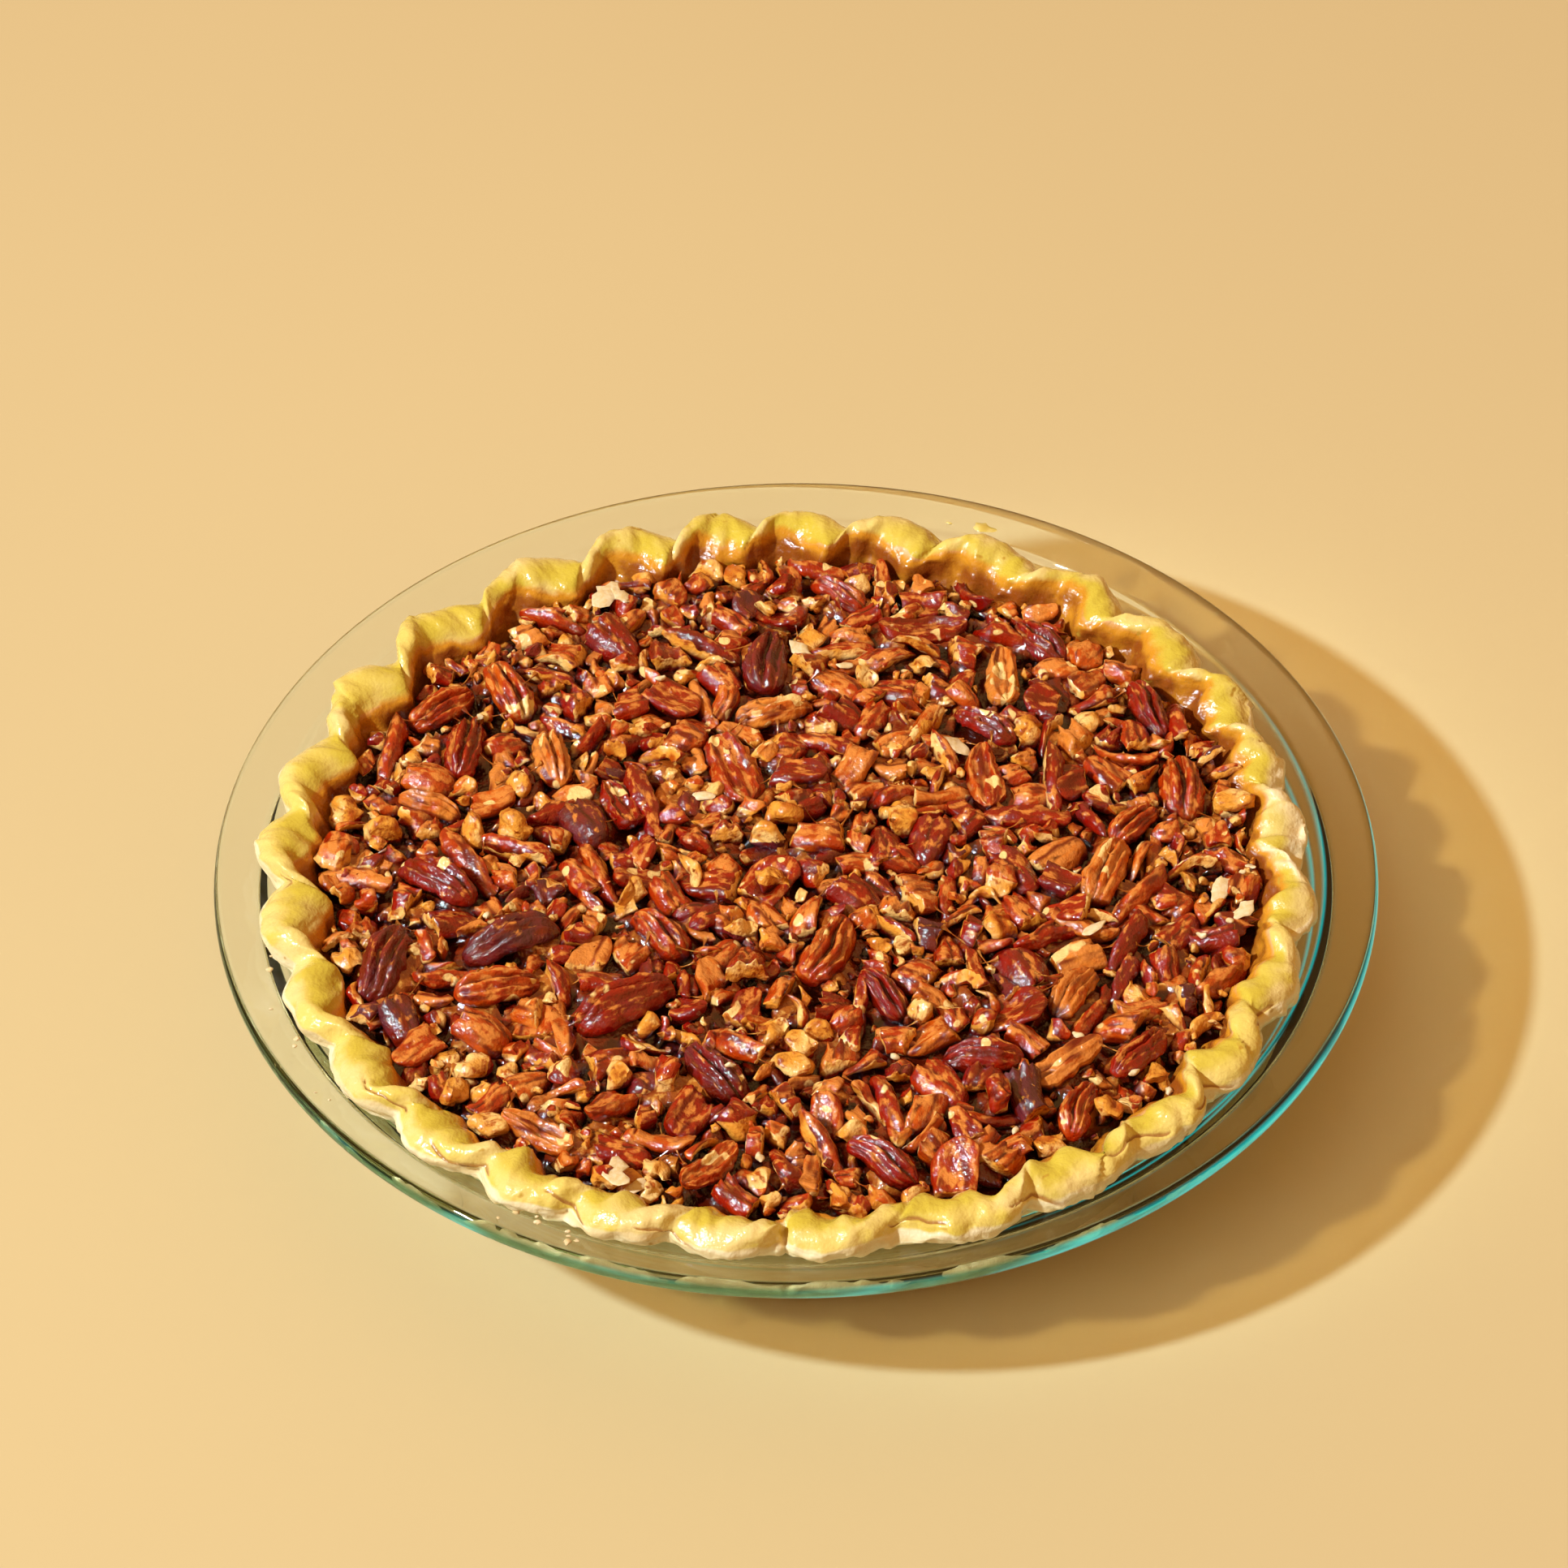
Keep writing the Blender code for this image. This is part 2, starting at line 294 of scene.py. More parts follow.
def glass_edge(nodes, links):
    """(edge, right): how much of the glass's green edge tint shows at a place, and how much painted glow
    the edge has there, most on the dish's right. The edge share also gates that painted glow."""
    flat = vector_math(nodes, links, "MULTIPLY", object_place(nodes), (1.0, 1.0, 0.0)).outputs[0]
    out = vector_math(nodes, links, "LENGTH", flat, None).outputs["Value"]
    rim = spread(nodes, links, out, 0.0, 1.0, low=RIM_RADIUS - 1.1 * MM, high=RIM_RADIUS - 0.1 * MM)
    before = spread(nodes, links, out, 0.0, 0.8, low=MOUTH_RADIUS - 1.4 * MM, high=MOUTH_RADIUS)
    after = spread(nodes, links, out, 1.0, 0.0, low=MOUTH_RADIUS, high=MOUTH_RADIUS + 0.8 * MM)
    ring = nodes.new("ShaderNodeMath")
    ring.operation = "MULTIPLY"
    links.new(before, ring.inputs[0])
    links.new(after, ring.inputs[1])
    heading = vector_math(nodes, links, "NORMALIZE", flat, None).outputs[0]
    towards = vector_math(nodes, links, "DOT_PRODUCT", heading, TEAL_TOWARDS).outputs["Value"]
    streaks = noise_node(nodes, links, stretched(nodes, links, object_place(nodes), (1, 1, 6)),
                         0.012, detail=2.0)
    # The share of painted glow, strongest towards the dish's right and broken into streaks.
    right = add(nodes, links, spread(nodes, links, towards, 0.0, 1.0, low=0.45, high=0.90),
                scaled(nodes, links, streaks, 2.4, -1.2))
    near = vector_math(nodes, links, "DOT_PRODUCT", heading, GREEN_TOWARDS).outputs["Value"]
    edge = nodes.new("ShaderNodeMath")
    edge.operation = "MULTIPLY"
    links.new(add(nodes, links, rim, ring.outputs[0]), edge.inputs[0])
    links.new(spread(nodes, links, near, 0.15, 1.0, low=-0.6, high=0.3), edge.inputs[1])
    return edge.outputs[0], right


def glass_finish():
    """Clear glass, blue-green in its depth, that lets light through to what lies under it, with a
    painted glow along its edge.
    """
    finish, nodes, links, shader = new_finish("clear_glass")
    edge, right = glass_edge(nodes, links)
    links.new(blend(nodes, links, edge, (1.0, 1.0, 1.0), EDGE_GREEN, 0.0, 1.0),
              shader.inputs["Base Color"])
    # Painted light: the emission paints a glow on the rim, teal and strongest on the dish's right,
    # though the glass is no lamp.
    painted_glow = blend(nodes, links, right, PAINTED_GLOW_DIM, PAINTED_GLOW_TEAL, 0.0, 1.0)
    links.new(blend(nodes, links, edge, (0.0, 0.0, 0.0), painted_glow, 0.25, 1.0),
              shader.inputs["Emission Color"])
    shader.inputs["Emission Strength"].default_value = 1.0
    shader.inputs["Roughness"].default_value = 0.0
    shader.inputs["IOR"].default_value = 1.5
    shader.inputs["Transmission Weight"].default_value = 1.0
    waves = noise_node(nodes, links, object_place(nodes), 0.03, detail=1.0)
    add_bump(nodes, links, shader, waves, 0.05, 0.2 * MM)
    output = nodes["Material Output"]
    clear = nodes.new("ShaderNodeBsdfTransparent")
    facing = nodes.new("ShaderNodeLayerWeight")
    facing.inputs["Blend"].default_value = 0.35
    shade = nodes.new("ShaderNodeMix")
    shade.data_type = "RGBA"
    links.new(facing.outputs["Facing"], shade.inputs["Factor"])
    shade.inputs["A"].default_value = (0.70, 0.56, 0.36, 1.0)
    shade.inputs["B"].default_value = (0.42, 0.37, 0.22, 1.0)
    links.new(shade.outputs["Result"], clear.inputs["Color"])
    light_path = nodes.new("ShaderNodeLightPath")
    mix = nodes.new("ShaderNodeMixShader")
    links.new(light_path.outputs["Is Shadow Ray"], mix.inputs["Fac"])
    links.new(shader.outputs["BSDF"], mix.inputs[1])
    links.new(clear.outputs["BSDF"], mix.inputs[2])
    links.new(mix.outputs["Shader"], output.inputs["Surface"])
    depth = nodes.new("ShaderNodeVolumeAbsorption")
    depth.inputs["Color"].default_value = (0.02, 0.84, 0.70, 1.0)
    depth.inputs["Density"].default_value = 9.0
    links.new(depth.outputs["Volume"], output.inputs["Volume"])
    return finish


def make_dish():
    """The dish, turned from its outline."""
    outline = dish_outline()
    obj = new_piece("pie_dish_glass", [(r, 0.0, z) for r, z in outline], [])
    obj.data.edges.add(len(outline) - 1)
    ends = [i for k in range(len(outline) - 1) for i in (k, k + 1)]
    obj.data.edges.foreach_set("vertices", ends)
    obj.data.update()
    edit_all(obj)
    bpy.ops.mesh.spin(steps=DISH_STEPS, angle=2.0 * math.pi, center=(0, 0, 0), axis=(0, 0, 1))
    bpy.ops.mesh.select_all(action="SELECT")
    bpy.ops.mesh.remove_doubles(threshold=0.02 * MM)
    bpy.ops.mesh.normals_make_consistent(inside=False)
    object_mode()
    put_in_order(obj)
    smooth(obj, 40)
    obj.data.materials.append(glass_finish())
    return hand_over(obj, ["glass_dish"])


# ---------------------------------------------------------------- crust

CRUST_STEPS = 1000
CRUST_SPACING = 0.55 * MM
CRUST_WALL_SPACING = 2.2 * MM
FLUTE_SKEW = 5.0
FLUTE_SHARPNESS = 0.95
FOLD_RISE = 1.3 * MM
CREASE_DEPTH = 0.9 * MM
FOLD_SWELL = 0.7 * MM
FOLD_LENGTH = 0.84
SPLIT_AT = 269.0
CHIPPED_AT, CHIPPED_WIDTH = 3.0, 15.0
# Cracks along the crest: middle and half length in degrees, and where they lie across it.
CRACKS = [(221.0, 2.6, 0.35), (233.0, 3.2, 0.55), (246.0, 2.2, 0.45), (257.0, 2.8, 0.6),
          (283.0, 2.6, 0.4), (296.0, 3.0, 0.55), (309.0, 3.6, 0.35), (320.0, 2.8, 0.6),
          (333.0, 2.0, 0.5), (186.0, 1.8, 0.5)]


def smoothed(points, rounds):
    """A line of points with its corners cut, round after round."""
    points = np.asarray(points, float)
    for _ in range(rounds):
        near = points[:-1] * 0.75 + points[1:] * 0.25
        far = points[:-1] * 0.25 + points[1:] * 0.75
        cut = np.empty((len(near) * 2, points.shape[1]))
        cut[0::2], cut[1::2] = near, far
        points = np.vstack([points[:1], cut, points[-1:]])
    return points


def spaced(points, spacing):
    """The same line with points about evenly spaced along it."""
    steps = np.hypot(*np.diff(points[:, :2], axis=0).T)
    run = np.concatenate([[0.0], np.cumsum(steps)])
    at = np.linspace(0.0, run[-1], max(int(run[-1] / spacing), 2) + 1)
    return np.stack([np.interp(at, run, column) for column in points.T], axis=1)


def lean(height):
    """How much of its slide the pie's side has at a height, from 0 to 1."""
    return ramp(height, LEAN_FROM, LEAN_TO)


def crust_outline():
    """(r, z, side) from the middle of the crust's floor up its inner side, over the crest and down
    its outer side to the middle underneath. Side runs from -1 on the inner side to 1 outside."""
    dish = dish_outline()
    slide = float(np.hypot(*LEAN))
    reach = 0.35 * MM
    inner = [(r, z, -1.0) for r, z in CRUST_INNER_SIDE[:3]]
    top = [(r * MM, z * MM, side) for r, z, side in [
        (98.5, 24.0, -1.0), (100.6, 32.0, -1.0), (101.6, 37.0, -0.9), (103.0, 41.2, -0.7),
        (105.2, 44.1, -0.35), (108.6, 44.4, 0.2), (111.3, 42.4, 0.6), (112.3, 39.2, 0.9),
        (110.9, 36.2, 1.0), (107.9, 35.2, 1.0), (107.2, 32.0, 1.0)]]
    wall = [(radius_at(dish, z * MM) + reach - slide * lean(z * MM), z * MM, 1.0)
            for z in (30.0, 24.0, 18.0, 12.0, 9.0, 7.0, 5.6)]
    floor = [(91.0 * MM, CRUST_FLOOR_BOTTOM, 1.0), (50.0 * MM, CRUST_FLOOR_BOTTOM, 1.0),
             (0.0, CRUST_FLOOR_BOTTOM, 1.0)]
    start = spaced(np.array([(0.0, CRUST_FLOOR_TOP, -1.0)] + inner), 12.0 * MM)
    crest = spaced(smoothed(top, 3), CRUST_SPACING)
    outside = spaced(smoothed([tuple(crest[-1])] + wall, 2), CRUST_WALL_SPACING)
    underneath = spaced(np.array([tuple(outside[-1])] + floor), 14.0 * MM)
    return np.vstack([start[:-1], crest, outside[1:], underneath[1:]])


def flute_phase(degrees):
    """Turns counted along the edge, a whole number on each fold's outward tip, times 2 pi."""
    tips = np.array([FLUTES[-1] - 360.0] + FLUTES + [FLUTES[0] + 360.0])
    return 2.0 * math.pi * np.interp(degrees % 360.0, tips, np.arange(len(tips)))


def flute_wave(phase, side):
    """1 on a fold's round outward tip and -1 in a pinch, which is a crease seen from outside."""
    scallop = 2.0 * np.abs(np.cos(phase / 2.0)) ** FLUTE_SHARPNESS - 1.0
    outer = smooth_ramp(side, -1.0, 0.1)
    return np.cos(phase) * (1.0 - outer) + scallop * outer


def fold_rise(phase):
    """How far up a fold has come, from -0.5 just past a pinch to 0.5 just before the next."""
    turn = (phase / (2.0 * math.pi) + 0.5) % 1.0
    falling = smooth_ramp(turn, FOLD_LENGTH, 1.0)
    return np.where(turn < FOLD_LENGTH, smooth_ramp(turn, -0.1, FOLD_LENGTH), 1.0 - falling) - 0.5


def arc_gap(degrees, centre):
    """Angle from a centre, from -180 to 180 degrees."""
    return (degrees - centre + 180.0) % 360.0 - 180.0


def crack_depth(degrees, side, ring):
    """1 along each crack in the crest and 0 away from them."""
    depth = np.zeros(len(degrees))
    for middle, reach, across in CRACKS:
        gap = arc_gap(degrees, middle)
        line = across + 0.16 * bumps(ring, 6.0 * MM, int(middle)) + 0.05 * gap
        depth = np.maximum(depth, hump(side, line, 0.055) * (1.0 - smooth_ramp(np.abs(gap),
                                                                               reach, reach + 1.0)))
    return depth


def fluted(radius, height, side, degrees):
    """The crust's points once its edge is pinched and has baked unevenly: radius and height, and
    how much each is hollow, chipped, split or cracked."""
    angle = np.radians(degrees)
    turn = np.cos(angle - HIGHEST_AT)
    share = smooth_ramp(height, FLUTES_FROM, FLUTES_TO) * smooth_ramp(radius, 80 * MM, 97 * MM)
    skewed = flute_phase(degrees - FLUTE_SKEW * (1.0 - side) / 2.0)
    wave = flute_wave(skewed, side) * share
    ring = np.stack([np.cos(angle) * 108 * MM, np.sin(angle) * 108 * MM, height], axis=1)
    crest = smooth_ramp(height, 37.5 * MM, 43 * MM)
    outer = (side + 1.0) / 2.0
    fold = np.floor(skewed / (2.0 * math.pi))
    fold_change = scatter(np.stack([fold, fold * 0, fold * 0], axis=1).astype(np.int64), 5)
    depth = 0.76 * (FLUTE_DEPTH + FLUTE_DEPTH_CHANGE * turn) + 0.6 * MM * fold_change
    rise = fold_rise(skewed) * share
    r = radius + depth * wave + FOLD_SWELL * side * rise
    z = height - CREST_DROOP * (1.0 - turn) * share + FOLD_RISE * rise * crest
    z += 0.35 * MM * fold_change * crest
    crease = hump((skewed / (2.0 * math.pi) + 0.5) % 1.0, FOLD_LENGTH + 0.07, 0.045)
    crease *= share * crest * (1.0 - 0.6 * smooth_ramp(side, 0.3, 0.9))
    z -= CREASE_DEPTH * crease
    r -= 0.5 * CREASE_DEPTH * crease * side
    bare = smooth_ramp(height, 29 * MM, 34 * MM)
    r += bare * (0.9 * MM * bumps(ring, 12 * MM, 1) + 0.75 * MM * bumps(ring, 5.0 * MM, 2))
    r += bare * 0.42 * MM * bumps(ring, 1.9 * MM, 3)
    z += bare * (0.6 * MM * bumps(ring, 11 * MM, 4) + 0.70 * MM * bumps(ring, 4.0 * MM, 6))
    z += bare * 0.40 * MM * bumps(ring, 1.7 * MM, 13)
    # Finger marks down the inner side.
    inner = 1.0 - smooth_ramp(side, -0.4, 0.6)
    marks = bumps(ring * np.array([1.0, 1.0, 0.2]), 4.4 * MM, 21) * inner * bare
    marks += 0.34 * np.cos(3.0 * skewed + 2.0 * bumps(ring, 9.0 * MM, 22)) * inner * bare
    r += 1.5 * MM * marks
    z -= 0.5 * MM * marks * crest
    # Flaky outer lip: thin layers that break off along an uneven lower edge.
    lip = outer ** 3 * hump(height, 36.5 * MM, 2.6 * MM)
    layers = ring * np.array([1.0, 1.0, 5.0])
    r += lip * (0.6 * MM * bumps(layers, 4.5 * MM, 7) + 0.9 * MM * bumps(ring, 1.9 * MM, 8))
    z += lip * (1.0 * MM * bumps(ring * np.array([1, 1, 0]), 3.0 * MM, 9) - 0.3 * MM)
    # The place where the pastry strip's ends meet, and a worn stretch that has flaked off.
    split = hump(arc_gap(degrees, SPLIT_AT) * 1.9 * MM, 0.5 * MM * (side + 0.2), 0.75 * MM)
    z -= split * crest * 2.6 * MM
    r -= split * share * outer * 2.0 * MM
    chip = hump(arc_gap(degrees, CHIPPED_AT), 0.0, CHIPPED_WIDTH) * crest
    z -= chip * (1.5 * MM + 1.3 * MM * bumps(ring, 2.2 * MM, 10))
    r -= chip * outer * 1.4 * MM
    crack = crack_depth(degrees, side, ring) * crest
    z -= crack * 0.9 * MM
    # Hollow: the sunk part of each fold and the hollows down the inner side. The finish colours these
    # darker, partly for egg wash pooled there and partly as painted shade.
    sunk = np.clip(0.25 - 1.3 * rise, 0.0, 1.0) * (1.0 - smooth_ramp(side, 0.1, 0.7))
    hollow = sunk + inner * (0.6 * np.clip(wave, 0.0, 1.0) + 0.7 * np.clip(marks, 0.0, 1.0))
    return r, z, {"hollow": hollow * crest, "chip": chip, "split": split, "crack": crack}


def crust_finish():
    """Egg-washed pastry: yellow and softly glossy on top, pale and flaky outside."""
    finish, nodes, links, shader = new_finish("baked_pastry")
    place = object_place(nodes)
    lay = attribute(nodes, "lay").outputs["Vector"]
    wash = attribute(nodes, "wash").outputs["Fac"]
    hollow = attribute(nodes, "hollow").outputs["Fac"]
    stain = attribute(nodes, "stain").outputs["Fac"]
    crack = attribute(nodes, "crack").outputs["Fac"]
    patches = noise_node(nodes, links, place, 0.010, detail=3.0)
    blotches = noise_node(nodes, links, place, 0.0035, detail=3.0)
    streaks = noise_node(nodes, links, stretched(nodes, links, lay, (0.09, 0.09, 1.0)), 0.0008,
                         detail=3.0)
    grain = grained(nodes, links, place, 0.00055, 0.08, 0.42)
    cream = blend(nodes, links, streaks, (0.80, 0.60, 0.30), (0.88, 0.73, 0.46), 0.35, 0.65)
    lemon = blend(nodes, links, patches, (0.78, 0.57, 0.21), (0.76, 0.55, 0.13), 0.38, 0.62)
    lemon = blend(nodes, links, blotches, lemon, (0.68, 0.49, 0.080), 0.50, 0.70)
    wash_edge = add(nodes, links, wash, scaled(nodes, links, blotches, 0.5, -0.25))
    colour = blend(nodes, links, wash_edge, cream, lemon, 0.35, 0.62)
    # Darker ochre in the hollows: partly egg wash pooled there, partly painted shade.
    deep = add(nodes, links, hollow, scaled(nodes, links, blotches, 0.7, -0.35))
    colour = blend(nodes, links, deep, colour, (0.60, 0.43, 0.045), 0.15, 0.90)
    raw = add(nodes, links, stain, scaled(nodes, links, patches, 1.6, -0.8))
    colour = blend(nodes, links, raw, colour, (0.74, 0.45, 0.22), 0.62, 0.70)
    stained = add(nodes, links, stain, scaled(nodes, links, blotches, 0.8, -0.40))
    colour = blend(nodes, links, stained, colour, (0.60, 0.24, 0.015), 0.34, 0.72)
    colour = blend(nodes, links, stained, colour, (0.26, 0.060, 0.006), 0.74, 1.05)
    specks = noise_node(nodes, links, place, 0.0016, detail=1.0)
    colour = blend(nodes, links, specks, colour, (0.50, 0.27, 0.03), 0.72, 0.80)
    # Painted shade: darker brown along the cracks in the crest.
    colour = blend(nodes, links, crack, colour, (0.40, 0.18, 0.04), 0.25, 0.8)
    links.new(colour, shader.inputs["Base Color"])
    dull = scaled(nodes, links, wash_edge, -0.22, 0.20)
    links.new(add(nodes, links, grain.outputs["Roughness"], dull), shader.inputs["Roughness"])
    shader.inputs["Specular IOR Level"].default_value = 0.5
    relief = add(nodes, links, scaled(nodes, links, blotches, 1.0, 0.0), grain.outputs["Height"])
    relief = add(nodes, links, relief, scaled(nodes, links, streaks, 0.35, 0.0))
    add_bump(nodes, links, shader, relief, 0.85, 0.45 * MM)
    return finish


def stain_level(degrees, ring):
    """How high syrup has browned the crust's inner side; it boiled over most at the right."""
    out = np.cos(np.radians(arc_gap(degrees, 20.0)))
    return 44.0 * MM + 1.5 * MM * out + 1.3 * MM * bumps(ring * np.array([1, 1, 0]), 7 * MM, 31)


def make_crust():
    """The pastry shell: lining, standing fluted edge and flaky outer lip."""
    outline = crust_outline()
    rows, steps = len(outline), CRUST_STEPS
    degrees = np.tile(np.arange(steps) * 360.0 / steps, rows)
    radius, height, side = (np.repeat(column, steps) for column in outline.T)
    r, z, marks = fluted(radius, height, side, degrees)
    angle = np.radians(degrees)
    shift = lean(height)[:, None] * LEAN
    points = np.stack([r * np.cos(angle) + shift[:, 0], r * np.sin(angle) + shift[:, 1], z], axis=1)
    first = np.arange(rows - 1)[:, None] * steps
    column = np.arange(steps)[None, :]
    onward = (column + 1) % steps
    quads = np.stack([first + column, first + onward, first + steps + onward,
                      first + steps + column], axis=2).reshape(-1, 4)
    crust = new_piece("fluted_pastry_crust", points, quads.tolist())
    run = np.concatenate([[0.0], np.cumsum(np.hypot(*np.diff(outline[:, :2], axis=0).T))])
    ring = np.stack([np.cos(angle) * 108 * MM, np.sin(angle) * 108 * MM, np.repeat(run, steps)], 1)
    keep_vector(crust, "lay", ring)
    crest = smooth_ramp(height, 34 * MM, 37.5 * MM)
    wash = crest * (1.0 - 0.95 * smooth_ramp(side, 0.45, 0.90))
    wash = wash * (1.0 - 0.7 * marks["chip"]) * (1.0 - 0.8 * marks["split"])
    keep_value(crust, "wash", wash)
    keep_value(crust, "hollow", marks["hollow"])
    keep_value(crust, "crack", marks["crack"])
    inner = 1.0 - smooth_ramp(side, -0.6, 0.3)
    level = stain_level(degrees, ring)
    keep_value(crust, "stain", inner * (1.0 - smooth_ramp(height, level - 5.5 * MM, level + 2 * MM)))
    edit_all(crust)
    bpy.ops.mesh.remove_doubles(threshold=0.01 * MM)
    bpy.ops.mesh.normals_make_consistent(inside=False)
    object_mode()
    smooth(crust)
    crust.data.materials.append(crust_finish())
    return hand_over(crust, ["crust"])


# ---------------------------------------------------------------- custard

FILLING_MIDDLE = 35.2 * MM
FILLING_EDGE = 33.0 * MM
FILLING_REACH = 103.0 * MM
FILLING_STEPS = 600
FILLING_RINGS = 122
FILM_SINK = 1.8 * MM


def filling_height(x, y):
    """Height of the custard's uneven top at places on the pie, before it climbs the nuts."""
    out = np.hypot(x - LEAN[0], y - LEAN[1])
    height = FILLING_MIDDLE + (FILLING_EDGE - FILLING_MIDDLE) * smooth_ramp(out, 84 * MM, 99 * MM)
    flat = np.stack([x, y, x * 0], axis=1)
    return height + 0.7 * MM * bumps(flat, 14 * MM, 11) + 0.35 * MM * bumps(flat, 4 * MM, 12)


def film_height(ground, x, y):
    """Height of the sticky skin that clings between the nuts, with open holes in it."""
    flat = np.stack([x, y, x * 0], axis=1)
    film = ground.level(x, y) - FILM_SINK
    film += 1.6 * MM * bumps(flat, 9 * MM, 41) + 1.1 * MM * bumps(flat, 2.6 * MM, 42)
    film += 0.15 * MM * bumps(flat, 1.2 * MM, 44)
    film -= 5.0 * MM * smooth_ramp(bumps(flat, 3.4 * MM, 43), 0.02, 0.22)
    out = np.hypot(x - LEAN[0], y - LEAN[1])
    film -= 6.0 * MM * smooth_ramp(out, 95 * MM, 101 * MM)
    return film


def custard_finish():
    """Dark syrup custard, with a lighter golden skin where it clings to the nuts."""
    finish, nodes, links, shader = new_finish("dark_custard")
    place = object_place(nodes)
    film = attribute(nodes, "film").outputs["Fac"]
    patches = noise_node(nodes, links, place, 0.006, detail=3.0)
    froth = noise_node(nodes, links, place, 0.0009, detail=3.0)
    grain = grained(nodes, links, place, 0.00046, 0.05, 0.22)
    colour = blend(nodes, links, patches, (0.030, 0.0015, 0.0005), (0.080, 0.006, 0.001), 0.35, 0.65)
    skin = blend(nodes, links, patches, (0.22, 0.026, 0.002), (0.42, 0.115, 0.012), 0.38, 0.62)
    skin = blend(nodes, links, froth, skin, (0.66, 0.31, 0.060), 0.50, 0.70)
    clings = add(nodes, links, film, scaled(nodes, links, froth, 0.7, -0.35))
    colour = blend(nodes, links, clings, colour, (0.17, 0.014, 0.002), 0.20, 0.50)
    colour = blend(nodes, links, clings, colour, skin, 0.50, 0.95)
    links.new(colour, shader.inputs["Base Color"])
    links.new(grain.outputs["Roughness"], shader.inputs["Roughness"])
    shader.inputs["Specular IOR Level"].default_value = 0.9
    relief = add(nodes, links, scaled(nodes, links, froth, 0.5, 0.0),
                 scaled(nodes, links, patches, 0.8, 0.0))
    relief = add(nodes, links, relief, scaled(nodes, links, grain.outputs["Height"], 0.9, 0.0))
    add_bump(nodes, links, shader, relief, 1.0, 0.5 * MM)
    return finish


def make_filling(ground):
    """The custard, from the crust's floor up between the nuts, reaching just into the crust."""
    steps, rings = FILLING_STEPS, FILLING_RINGS
    angle = np.arange(steps) * 2.0 * math.pi / steps
    out = np.repeat(FILLING_REACH * np.arange(1, rings + 1) / rings, steps)
    around = np.tile(angle, rings)
    x = np.concatenate([[LEAN[0]], LEAN[0] + out * np.cos(around)])
    y = np.concatenate([[LEAN[1]], LEAN[1] + out * np.sin(around)])
    base = filling_height(x, y)
    top = np.maximum(base, film_height(ground, x, y))
    points = np.stack([x, y, top], axis=1)
    film = (top - base) / (3.0 * MM)
    side = [(99.6 * MM, 26.0 * MM), (93.5 * MM, 10.5 * MM), (86.0 * MM, CRUST_FLOOR_TOP - 0.3 * MM)]
    for r, z in side:
        shift = LEAN * lean(z)
        row = np.stack([r * np.cos(angle) + shift[0], r * np.sin(angle) + shift[1],
                        angle * 0.0 + z], axis=1)
        points = np.vstack([points, row])
    points = np.vstack([points, [(0.0, 0.0, CRUST_FLOOR_TOP - 0.3 * MM)]])
    faces = [(0, 1 + i, 1 + (i + 1) % steps) for i in range(steps)]
    for k in range(rings + len(side) - 1):
        low = 1 + k * steps
        faces += [(low + i, low + steps + i, low + steps + (i + 1) % steps, low + (i + 1) % steps)
                  for i in range(steps)]
    last, low = len(points) - 1, 1 + (rings + len(side) - 1) * steps
    faces += [(last, low + (i + 1) % steps, low + i) for i in range(steps)]
    filling = new_piece("syrup_custard", points, faces)
    keep_value(filling, "film", np.concatenate([film, np.zeros(len(points) - len(film))]))
    face_out(filling)
    smooth(filling, 60)
    filling.data.materials.append(custard_finish())
    return hand_over(filling, ["custard_filling"])


# ---------------------------------------------------------------- pecans

SKIN_TONES = [
    (0.00, (0.095, 0.013, 0.018)), (0.16, (0.190, 0.013, 0.012)), (0.30, (0.237, 0.0026, 0.0009)),
    (0.46, (0.3112, 0.0078, 0.0006)), (0.64, (0.4114, 0.029, 0.0013)), (0.82, (0.5401, 0.08, 0.0036)),
    (1.00, (0.7122, 0.2267, 0.029)),
]
TONE_OF = {"brown": 0.60, "red": 0.34, "purple": 0.10, "pale": 0.90}


def lobes(turn, along, wobble):
    """How deep the lengthwise grooves are at a turn round a pecan's back, in radians."""
    off = np.degrees(turn) - 90.0 + 5.0 * np.sin(3.0 * along + wobble)
    fade = 1.0 - 0.75 * along ** 4
    return fade * (0.50 * hump(off, 0.0, 9.0) + 0.30 * hump(np.abs(off), 38.0, 7.5)
                   + 0.13 * hump(np.abs(off), 63.0, 6.0))


